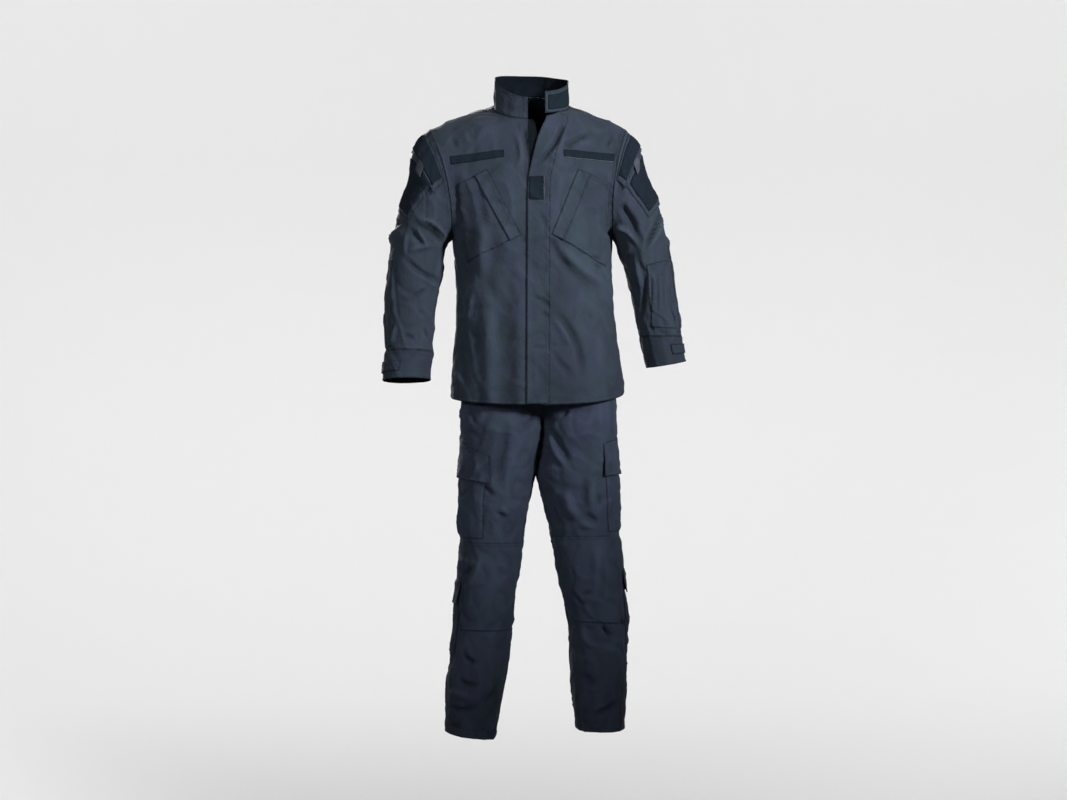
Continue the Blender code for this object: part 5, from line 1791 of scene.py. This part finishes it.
CHEST_PATCHES = listed(
    Patch,
    ("chest_pocket_right", CHEST_BAG, ((-0.125, -0.15), (-0.045, -0.303), (-0.16, -0.358), (-0.185, -0.178))),
    ("chest_pocket_left", CHEST_BAG, ((0.115, -0.146), (0.052, -0.301), (0.163, -0.366), (0.175, -0.173))),
    ("chest_flap_right", CHEST_FLAP, ((-0.111, -0.14), (-0.03, -0.296), (-0.057, -0.309), (-0.139, -0.157))),
    ("chest_flap_left", CHEST_FLAP, ((0.1, -0.14), (0.038, -0.294), (0.066, -0.308), (0.13, -0.152))),
    ("name_tape_right", NAME_FIELD, ((-0.072, -0.095), (-0.072, -0.113), (-0.196, -0.13), (-0.198, -0.11))),
    # The left name tape's bottom edge and the rank loop's far edge get the painted highlight row.
    ("name_tape_left", NAME_FIELD, ((0.066, -0.095), (0.067, -0.114), (0.184, -0.123), (0.186, -0.103)), 1),
    ("rank_loop", RANK_FIELD, ((-0.014, -0.16), (-0.014, -0.214), (0.021, -0.214), (0.021, -0.16)), 3),
)
RIGHT_SLEEVE_PATCHES = listed(
    Patch,
    ("sleeve_pocket_right", SLEEVE_BAG, ((0.045, -70), (0.045, 84), (0.21, 58), (0.2, -60))),
    ("sleeve_flap_right", SLEEVE_FLAP, ((0.012, -73), (0.01, 88), (0.072, 88), (0.066, -73))),
    ("flap_loop_right", FLAP_FIELD, ((0.019, -60), (0.017, 82), (0.064, 82), (0.06, -60))),
    ("pocket_loop_right", POCKET_FIELD, ((0.08, -45), (0.08, 72), (0.198, 52), (0.19, -40))),
    ("pull_tab_right", PULL_TAB, ((0.056, 44), (0.056, 58), (0.088, 58), (0.088, 44))),
    ("elbow_patch_right", ELBOW_PATCH, ((0.318, 34), (0.532, 58), (0.532, -105), (0.318, -105))),
    ("cuff_tab_right", CUFF_TAB, ((0.566, 76), (0.592, 76), (0.592, -20), (0.566, -20))),
)
LEFT_SLEEVE_PATCHES = listed(
    Patch,
    ("sleeve_pocket_left", SLEEVE_BAG, ((0.045, -70), (0.045, 84), (0.213, 64), (0.205, -60))),
    ("sleeve_flap_left", SLEEVE_FLAP, ((0.012, -73), (0.01, 86), (0.062, 86), (0.07, -73))),
    ("flap_loop_left", FLAP_FIELD, ((0.019, -60), (0.017, 80), (0.055, 80), (0.062, -60))),
    ("pocket_loop_left", POCKET_FIELD, ((0.08, -45), (0.076, 74), (0.2, 58), (0.192, -40))),
    ("pull_tab_left", PULL_TAB, ((0.052, 44), (0.052, 57), (0.088, 57), (0.088, 44))),
    ("elbow_patch_left", ELBOW_PATCH, ((0.3, 15), (0.504, 26), (0.504, -105), (0.3, -105))),
    ("pen_pocket", PEN_POCKET, ((0.322, 98), (0.49, 114), (0.495, 40), (0.335, 24))),
    ("cuff_tab_left", CUFF_TAB, ((0.532, 66), (0.558, 66), (0.558, -20), (0.532, -20))),
)
RIGHT_LEG_PATCHES = listed(
    Patch,
    ("cargo_pocket_right", CARGO_BAG, ((-0.81, -60), (-0.828, 72), (-1.0, 79), (-1.0, -60))),
    ("cargo_flap_right", CARGO_FLAP, ((-0.725, -63), (-0.806, 79), (-0.87, 81), (-0.845, -63))),
    ("knee_patch_right", KNEE_PATCH, ((-1.008, 36), (-1.214, 42), (-1.216, 172), (-1.01, 168))),
    ("calf_pocket_right", CALF_BAG, ((-1.13, -58), (-1.132, 33), (-1.278, 33), (-1.278, -58))),
    ("calf_flap_right", CALF_FLAP, ((-1.1, -60), (-1.102, 34), (-1.155, 34), (-1.152, -60))),
)
LEFT_LEG_PATCHES = listed(
    Patch,
    ("cargo_pocket_left", CARGO_BAG, ((-0.81, -72), (-0.815, 46), (-0.985, 49), (-0.985, -72))),
    ("cargo_flap_left", CARGO_FLAP, ((-0.745, -75), (-0.776, 55), (-0.854, 52), (-0.845, -75))),
    ("knee_patch_left", KNEE_PATCH._replace(height=0.0024),
     ((-0.992, 46), (-1.2, 30), (-1.19, 162), (-0.994, 162))),
    ("calf_pocket_left", CALF_BAG, ((-1.105, -70), (-1.105, 20), (-1.252, 20), (-1.252, -70))),
    ("calf_flap_left", CALF_FLAP, ((-1.074, -72), (-1.074, 21), (-1.128, 21), (-1.126, -72))),
    ("fly", FLY, ((-0.475, 176), (-0.684, 176), (-0.67, 152), (-0.475, 152))),
)
COLLAR_LOOP = Patch("collar_loop", COLLAR_FIELD, ((0.12, 26), (0.12, 86), (0.82, 86), (0.82, 26)))


# ---- sub-assemblies

@dataclass
class Assembly:
    """Pieces that share one set of folds."""

    shop: Workshop
    drape: Drape


@dataclass
class Jacket(Assembly):
    """Fronts and back of the jacket, and what is sewn on the chest."""

    hem_rows: Sewn = Sewn.NARROW_HEM
    corner: float = 1 - NECK / SHOULDER

    def half_place(self, half: Body) -> Callable:
        """Places on one half, from the shoulder down and from its middle out.

        Args:
            half: The half of the body.

        Returns:
            What turns shares down and over into courses and x.
        """
        def place(down: Array, over: Array) -> tuple:
            """Course and x at these shares.

            Args:
                down: Shares down from the shoulder.
                over: Shares out from the middle.

            Returns:
                Both coordinates.
            """
            course = SHOULDER * (1 - down)
            start = half.middle(course)
            opening = start[..., 0]
            if half.face < 0:
                row = CLOSURE_TABLE.at(start[..., 2])
                edge = row["left_front"] if half.side > 0 else row["right_front"]
                opening = np.where(course < NECK, edge, opening)
            share = mix(np.sin(np.pi / 2 * over), over, eased((course - UNDERARM) / 2))
            return course, mix(opening, half.edge(course)[..., 0], share)
        return place

    def front(self, side: int) -> None:
        """Makes one front.

        Args:
            side: 1 for the wearer's left, -1 for the right.
        """
        half = Body(side, -1)
        cloth = Cloth(half, self.half_place(half), (JOINED, self.hem_rows, TOP, FELLED), through=self.corner)
        node = "front_left" if side > 0 else "front_right"
        self.shop.piece(node, [cloth.lay(self.drape)], WALL, JACKET, "jacket_fronts")

    def back(self) -> None:
        """Makes the back from two halves joined down the centre, parting round the neckline."""
        edges = (JOINED, self.hem_rows, PLAIN, FELLED)
        right, left = Body(-1, 1), Body(1, 1)
        first = Cloth(right, self.half_place(right), edges, through=self.corner)
        second = Cloth(left, self.half_place(left), edges, beside=first, through=self.corner)
        cloths = [cloth.lay(self.drape) for cloth in (first, second)]
        self.shop.piece("back", cloths, WALL, JACKET, "jacket_back")

    def build(self) -> None:
        """Makes every piece."""
        self.front(-1)
        self.front(1)
        self.back()
        for patch in CHEST_PATCHES:
            patch.sew(self.shop, FRONT, self.drape, "jacket_chest")


SLIDER_BODY = (
    (-1.0, 1.0), (-0.35, 0.72), (0.35, 0.72), (1.0, 1.0),
    (0.95, 0.1), (0.62, -1.0), (-0.62, -1.0), (-0.95, 0.1),
)
SLIDER_BRIDGE = ((-0.16, 0.6), (0.16, 0.6), (0.16, -0.55), (-0.16, -0.55))
SLIDER_PULL = (
    (-0.30, 0.15), (0.30, 0.15), (0.42, -0.3), (0.42, -1.0), (0.30, -1.12), (-0.30, -1.12), (-0.42, -1.0),
    (-0.42, -0.3),
)


@dataclass
class Closure(Assembly):
    """Storm flap, zip tapes, teeth and slider down the centre front."""

    tape_height: float = -0.0014
    tape_reach: float = 0.006
    flap_heights: tuple = (0.0045, 0.0014)
    tooth_pitch: float = 0.0020
    tooth: tuple = (0.0014, 0.0009, 0.0006)
    slider_length: float = 0.011
    slider_width: float = 0.008
    slider_depth: float = 0.0013
    pull_length: float = 0.020
    slider_lift: float = 0.0004
    tooth_lift: float = 0.0006
    hem_gap: float = 0.03
    fastening_rows: tuple = (-0.235, -0.268, -0.372, -0.413, -0.455, -0.550, -0.592)

    def strip(self, side: int, edges: Callable, sewn: tuple, heights: tuple) -> Cloth:
        """A strip from neckline to hem.

        Args:
            side: 1 for the wearer's left half of the front.
            edges: Gives the strip's two sides' x for a row of the closure's table.
            sewn: Finishes of its four edges.
            heights: Heights of its outer face at its two sides.

        Returns:
            The cloth, laid.
        """
        half = Body(side, -1)

        def place(down: Array, over: Array) -> tuple:
            """Course and x at these shares.

            Args:
                down: Shares down the strip.
                over: Shares over it.

            Returns:
                Both coordinates.
            """
            course = mix(NECK - self.hem_gap, self.hem_gap, down)
            start, end = edges(CLOSURE_TABLE.at(half.middle(course)[..., 2]))
            return course, mix(start, end, over)

        cloth = Cloth(half, place, sewn)
        return cloth.lay(self.drape, mix(*heights, cloth.over))

    def flap(self) -> None:
        """Storm flap."""
        cloth = self.strip(1, lambda row: (row["flap_edge"], row["flap_edge"] + PLACKET_WIDTH),
                           (TOP, TOP, TURNED, TOP), self.flap_heights)
        self.shop.piece("placket", [cloth], WALL, JACKET, "jacket_placket")
        for z in self.fastening_rows:
            distance = float(np.interp(-z, -cloth.plain[:, 0, 2], cloth.away[0][:, 0]))
            self.shop.threads["jacket_placket"].extend(cloth.row_of(0, distance, THREAD_LIFT))

    def zip(self) -> None:
        """Both tapes with their teeth."""
        heights, plain = (self.tape_height, self.tape_height), (PLAIN, PLAIN, PLAIN, PLAIN)
        reach = self.tape_reach
        right = self.strip(-1, lambda row: (row["right_front"] - reach, row["right_teeth"]), plain, heights)
        left = self.strip(1, lambda row: (row["left_teeth"], row["left_front"] + reach), plain, heights)
        self.shop.piece("zip_tape_right", [right], TAPE_WALL, ZIP_TAPE_PAINTED_SHADE)
        self.shop.piece("zip_tape_left", [left], TAPE_WALL, ZIP_TAPE_PAINTED_SHADE)
        lines, outward = [], []
        for cloth, column in ((right, -1), (left, 0)):
            outward.append(cloth.normals[:, column])
            lines.append(cloth.points[:, column] + outward[-1] * self.tooth_lift)
        self.shop.rows(
            "zip_teeth", lines, TEETH, outward, Pitch=self.tooth_pitch, Half_size=self.tooth, Boxes=True
        )

    def slider(self) -> None:
        """Slider body with its bridge and a hanging pull, lying where the teeth part."""
        form = bmesh.new()
        width, length, depth = self.slider_width / 2, self.slider_length / 2, self.slider_depth / 2
        pull = self.pull_length / 1.3
        for outline, wide, tall, level, thick in (
            (SLIDER_BODY, width, length, -depth, depth * 0.6),
            (SLIDER_BODY, width, length, depth * 0.4, depth * 0.6),
            (SLIDER_BRIDGE, width, length, depth, depth * 0.9),
            (SLIDER_PULL, width * 1.1, pull, depth * 1.5, depth * 0.5),
        ):
            self.plate(form, [(x * wide, z * tall) for x, z in outline], level, thick)
        place = FRONT.points(np.array([ZIP_TEETH_X]), np.array([SLIDER_Z]))
        lift = float(self.drape.heights(place)[0])
        out = Vector(FRONT.normals(ZIP_TEETH_X, SLIDER_Z))
        turn = out.to_track_quat("Y", "Z").to_matrix().to_4x4()
        bmesh.ops.transform(form, matrix=turn, verts=form.verts)
        bmesh.ops.translate(form, vec=Vector(place[0]) + out * (lift + self.slider_lift), verts=form.verts)
        bmesh.ops.recalc_face_normals(form, faces=form.faces)
        mesh = bpy.data.meshes.new("zip_slider")
        form.to_mesh(mesh)
        form.free()
        mesh.materials.append(ZIP_METAL.material())
        made = shown("metal_zip_slider", mesh)
        bevel = made.modifiers.new("edges", "BEVEL")
        bevel.width, bevel.segments = 0.0003, 2
        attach(made, "root")
        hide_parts("zip_slider")
        LOG.info("zip_slider: %d faces", len(mesh.polygons))

    def plate(self, form: bmesh.types.BMesh, outline: list, level: float, thickness: float) -> None:
        """Adds a flat plate.

        Args:
            form: The mesh it joins.
            outline: Its corners' x and z.
            level: Where its back lies.
            thickness: Its thickness.
        """
        layers = [[form.verts.new((x, y, z)) for x, z in outline] for y in (level, level + thickness)]
        form.faces.new(layers[0])
        form.faces.new(layers[1][::-1])
        for i in range(len(outline)):
            j = (i + 1) % len(outline)
            form.faces.new((layers[0][i], layers[0][j], layers[1][j], layers[1][i]))

    def build(self) -> None:
        """Makes every piece."""
        self.flap()
        self.zip()
        self.slider()


@dataclass
class Neck(Assembly):
    """Stand collar and its loop field."""

    under: float = -0.016

    def build(self) -> None:
        """Makes both pieces."""
        def place(down: Array, over: Array) -> tuple:
            """Share of the height, and degrees round the neck."""
            return mix(1, self.under, down), mix(COLLAR_END, 360 + RIGHT_OPENING, over)

        cloth = Cloth(COLLAR, place, (TURNED, TOP, TOP, TOP)).lay(self.drape)
        self.shop.piece("collar", [cloth], DOUBLED, JACKET, "jacket_collar")
        COLLAR_LOOP.sew(self.shop, COLLAR, self.drape, "jacket_collar")


@dataclass
class Arm(Assembly):
    """One sleeve with its cuff and what is sewn on it."""

    name: str
    surface: Sleeve
    cuff_surface: Sleeve
    seam: float
    end: float
    patches: tuple

    def tube(self, surface: Sleeve, top: float, bottom: float, edges: tuple) -> Cloth:
        """A ring of cloth, joined along the underarm line.

        Args:
            surface: What it lies on.
            top: Metres down to its top.
            bottom: Metres down to its bottom.
            edges: Finishes of its four edges.

        Returns:
            The cloth, laid.
        """
        def place(down: Array, over: Array) -> tuple:
            """Metres down the sleeve, and degrees round it."""
            return mix(top, bottom, down), mix(-180, 180, over)
        return Cloth(surface, place, edges).lay(self.drape)

    def build(self) -> None:
        """Makes every piece."""
        sleeve = self.tube(self.surface, 0, self.seam, (JOINED, JOINED, JOINED, JOINED))
        self.shop.piece(f"sleeve_{self.name}", [sleeve], WALL, JACKET)
        cuff = self.tube(self.cuff_surface, self.seam, self.end, (TOP, TURNED, JOINED, JOINED))
        self.shop.piece(f"cuff_{self.name}", [cuff], DOUBLED, JACKET, f"jacket_sleeve_{self.name}")
        for patch in self.patches:
            on_cuff = patch.node.startswith("cuff")
            surface = self.cuff_surface if on_cuff else self.surface
            patch.sew(self.shop, surface, self.drape, f"jacket_sleeve_{self.name}")


@dataclass
class Trousers(Assembly):
    """Both legs, the waistband, and what is sewn on the legs."""

    tuck: float = 0.006
    tuck_z: float = -0.650
    legs: tuple = (("right", RIGHT_TROUSER, RIGHT_LEG_PATCHES), ("left", LEFT_TROUSER, LEFT_LEG_PATCHES))

    def panel(self, leg: Leg, sign: int) -> Cloth:
        """A panel of a leg.

        Args:
            leg: The leg.
            sign: 1 for its front, -1 for its back.

        Returns:
            The cloth, laid.
        """
        low = float(leg.table.places[0])

        def place(down: Array, over: Array) -> tuple:
            """Height, and degrees round the leg."""
            return mix(WAISTBAND_Z, low, down), sign * mix(0.01, 180, over)

        cloth = Cloth(leg, place, (PLAIN, Sewn.HEM, FELLED, FELLED if sign > 0 else JOINED))
        return cloth.lay(self.drape, self.tucked(cloth))

    def tucked(self, cloth: Cloth) -> Array:
        """Heights that take the cloth in where the jacket covers it."""
        return -self.tuck * eased((cloth.plain[..., 2] - self.tuck_z) / 0.03)

    def waistband(self) -> None:
        """Waistband, open at the centre front."""
        def place(down: Array, over: Array) -> tuple:
            """Height, and degrees round the waist."""
            return mix(WAIST_Z, WAISTBAND_Z, down), mix(-180, 179, over)

        right = Cloth(RIGHT_TROUSER, place, (TOP, TOP, PLAIN, TOP), 0.008)
        left = Cloth(LEFT_TROUSER, place, (TOP, TOP, PLAIN, TOP), 0.008, beside=right)
        cloths = [cloth.lay(self.drape, self.tucked(cloth)) for cloth in (right, left)]
        self.shop.piece("waistband", cloths, DOUBLED, TROUSERS, "trouser_waist")

    def build(self) -> None:
        """Makes every piece."""
        for name, leg, patches in self.legs:
            for face, sign in (("front", 1), ("back", -1)):
                cloth = self.panel(leg, sign)
                self.shop.piece(f"trouser_{face}_{name}", [cloth], WALL, TROUSERS, f"trouser_{name}")
            for patch in patches:
                patch.sew(self.shop, leg, self.drape, f"trouser_patches_{name}")
        self.waistband()


class Lamp(NamedTuple):
    """A soft square light: its place and aim, its side, its watts and its spread in degrees."""

    name: str
    place: tuple
    aim: tuple
    size: float
    watts: float
    spread: float

    def hang(self) -> None:
        """Puts it in the scene."""
        lamp = bpy.data.lights.new(self.name, "AREA")
        lamp.shape, lamp.size = "SQUARE", self.size
        lamp.energy, lamp.spread = self.watts, math.radians(self.spread)
        made = shown(self.name, lamp)
        made.location = self.place
        made.rotation_euler = (Vector(self.aim) - Vector(self.place)).to_track_quat("-Z", "Y").to_euler()


LAMPS = listed(
    Lamp,
    ("key", (3.05, -3.2, 0.80), (0.0, 0.0, -0.22), 0.7, 31, 27),
    ("fill", (-2.9, -3.8, 1.0), (0.0, 0.0, -0.3), 1.4, 13, 31),
    ("back", (-1.2, 3.9, 1.2), (0.0, 0.0, -0.4), 0.9, 24, 34),
    ("wall", (-5.0, 3.5, 6.0), (-1.5, 10.0, -1.0), 2.0, 99, 110),
    ("wall", (5.0, 3.5, 6.0), (1.5, 10.0, -1.0), 2.0, 98, 110),
)


@dataclass
class Studio:
    """Pale bowl of a floor and wall, the world's light and the camera."""

    floor: float = -2.20
    flat: float = 7.0
    wall: float = 10.0
    top: float = 8.0
    sides: int = 96
    albedo: float = 0.86
    world_light: float = 0.55
    camera: tuple = (-0.0035, -6.0, -0.677)
    lens: float = 85.8

    def bowl(self) -> None:
        """Makes the floor that curves up into a wall."""
        bend = [i * math.pi / 2 / 12 for i in range(1, 13)]
        radius = self.wall - self.flat
        profile = [(self.flat * i / 6, self.floor) for i in range(1, 7)]
        profile += [(self.flat + radius * math.sin(a), self.floor + radius * (1 - math.cos(a))) for a in bend]
        profile.append((self.wall, self.top))
        form = bmesh.new()
        turns = [math.tau * k / self.sides for k in range(self.sides)]
        rings = [
            [form.verts.new((reach * math.cos(turn), reach * math.sin(turn), z)) for turn in turns]
            for reach, z in profile
        ]
        centre = form.verts.new((0, 0, self.floor))
        for k in range(self.sides):
            n = (k + 1) % self.sides
            form.faces.new((centre, rings[0][k], rings[0][n]))
            for inner, outer in zip(rings, rings[1:]):
                form.faces.new((inner[k], outer[k], outer[n], inner[n]))
        mesh = bpy.data.meshes.new("floor")
        form.to_mesh(mesh)
        form.free()
        mesh.shade_smooth()
        paper, tree, shader = principled("studio_paper")
        tree.put(shader, Base_Color=(self.albedo, self.albedo, self.albedo, 1), Roughness=0.95,
                 Specular_IOR_Level=0.1)
        mesh.materials.append(paper)
        shown("floor", mesh)

    def build(self) -> None:
        """Makes the floor, lights, world and camera."""
        self.bowl()
        for lamp in LAMPS:
            lamp.hang()
        world = bpy.data.worlds.new("studio")
        world.use_nodes = True
        glow = world.node_tree.nodes["Background"]
        Tree(world.node_tree).put(glow, Color=(1.0, 1.0, 1.0, 1), Strength=self.world_light)
        bpy.context.scene.world = world
        bpy.context.scene.view_settings.view_transform = "Standard"
        camera = bpy.data.cameras.new("camera")
        camera.sensor_width, camera.lens, camera.clip_end = 36, self.lens, 60
        made = shown("camera", camera)
        made.location = self.camera
        made.rotation_euler = (math.pi / 2, 0, 0)
        bpy.context.scene.camera = made


def armhole(arm: Sleeve) -> Array:
    """Points round an armhole."""
    return arm.points(np.zeros(42), np.linspace(-180, 180, 42))


def main() -> None:
    """Makes the uniform and its studio."""
    logging.basicConfig(level=logging.INFO, format="%(message)s")
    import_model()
    shop = Workshop()
    neckline = neck_ring(np.linspace(-180, 180, 42))
    seams = np.concatenate([armhole(RIGHT_ARM), armhole(LEFT_ARM), neckline])
    body = Drape(((FRONT, FRONT_FOLDS), (BACK, BACK_FOLDS)), 0.0011, 3, seams, 0.022)
    y, z = (grid.ravel() for grid in np.meshgrid(np.linspace(-0.12, 0.14, 14), np.linspace(-0.87, -0.60, 15)))
    between_legs = spots(y * 0 + 0.012, y, z)
    folds = ((RIGHT_TROUSER, RIGHT_LEG_FOLDS), (LEFT_TROUSER, LEFT_LEG_FOLDS))
    legs = Drape(folds, 0.0012, 7, between_legs, 0.024, 2.8)
    Jacket(shop, body).build()
    Closure(shop, body).build()
    Neck(shop, Drape(((COLLAR, COLLAR_FOLDS),), 0.0006, 11, neckline, 0.012)).build()
    for name, rows, surface, seam, end, folds, patches, seed in (
        ("right", RIGHT_SLEEVE, RIGHT_ARM, 0.540, 0.610, RIGHT_SLEEVE_FOLDS, RIGHT_SLEEVE_PATCHES, 5),
        ("left", LEFT_SLEEVE, LEFT_ARM, 0.512, 0.581, LEFT_SLEEVE_FOLDS, LEFT_SLEEVE_PATCHES, 6),
    ):
        drape = Drape(((surface, folds),), 0.0010, seed, armhole(surface), 0.02, 2.5)
        cuff = Sleeve(rows, surface.side, 1.012)
        Arm(shop, drape, name, surface, cuff, seam, end, patches).build()
    Trousers(shop, legs).build()
    shop.stitch()
    Studio().build()


if __name__ == "__main__":
    main()
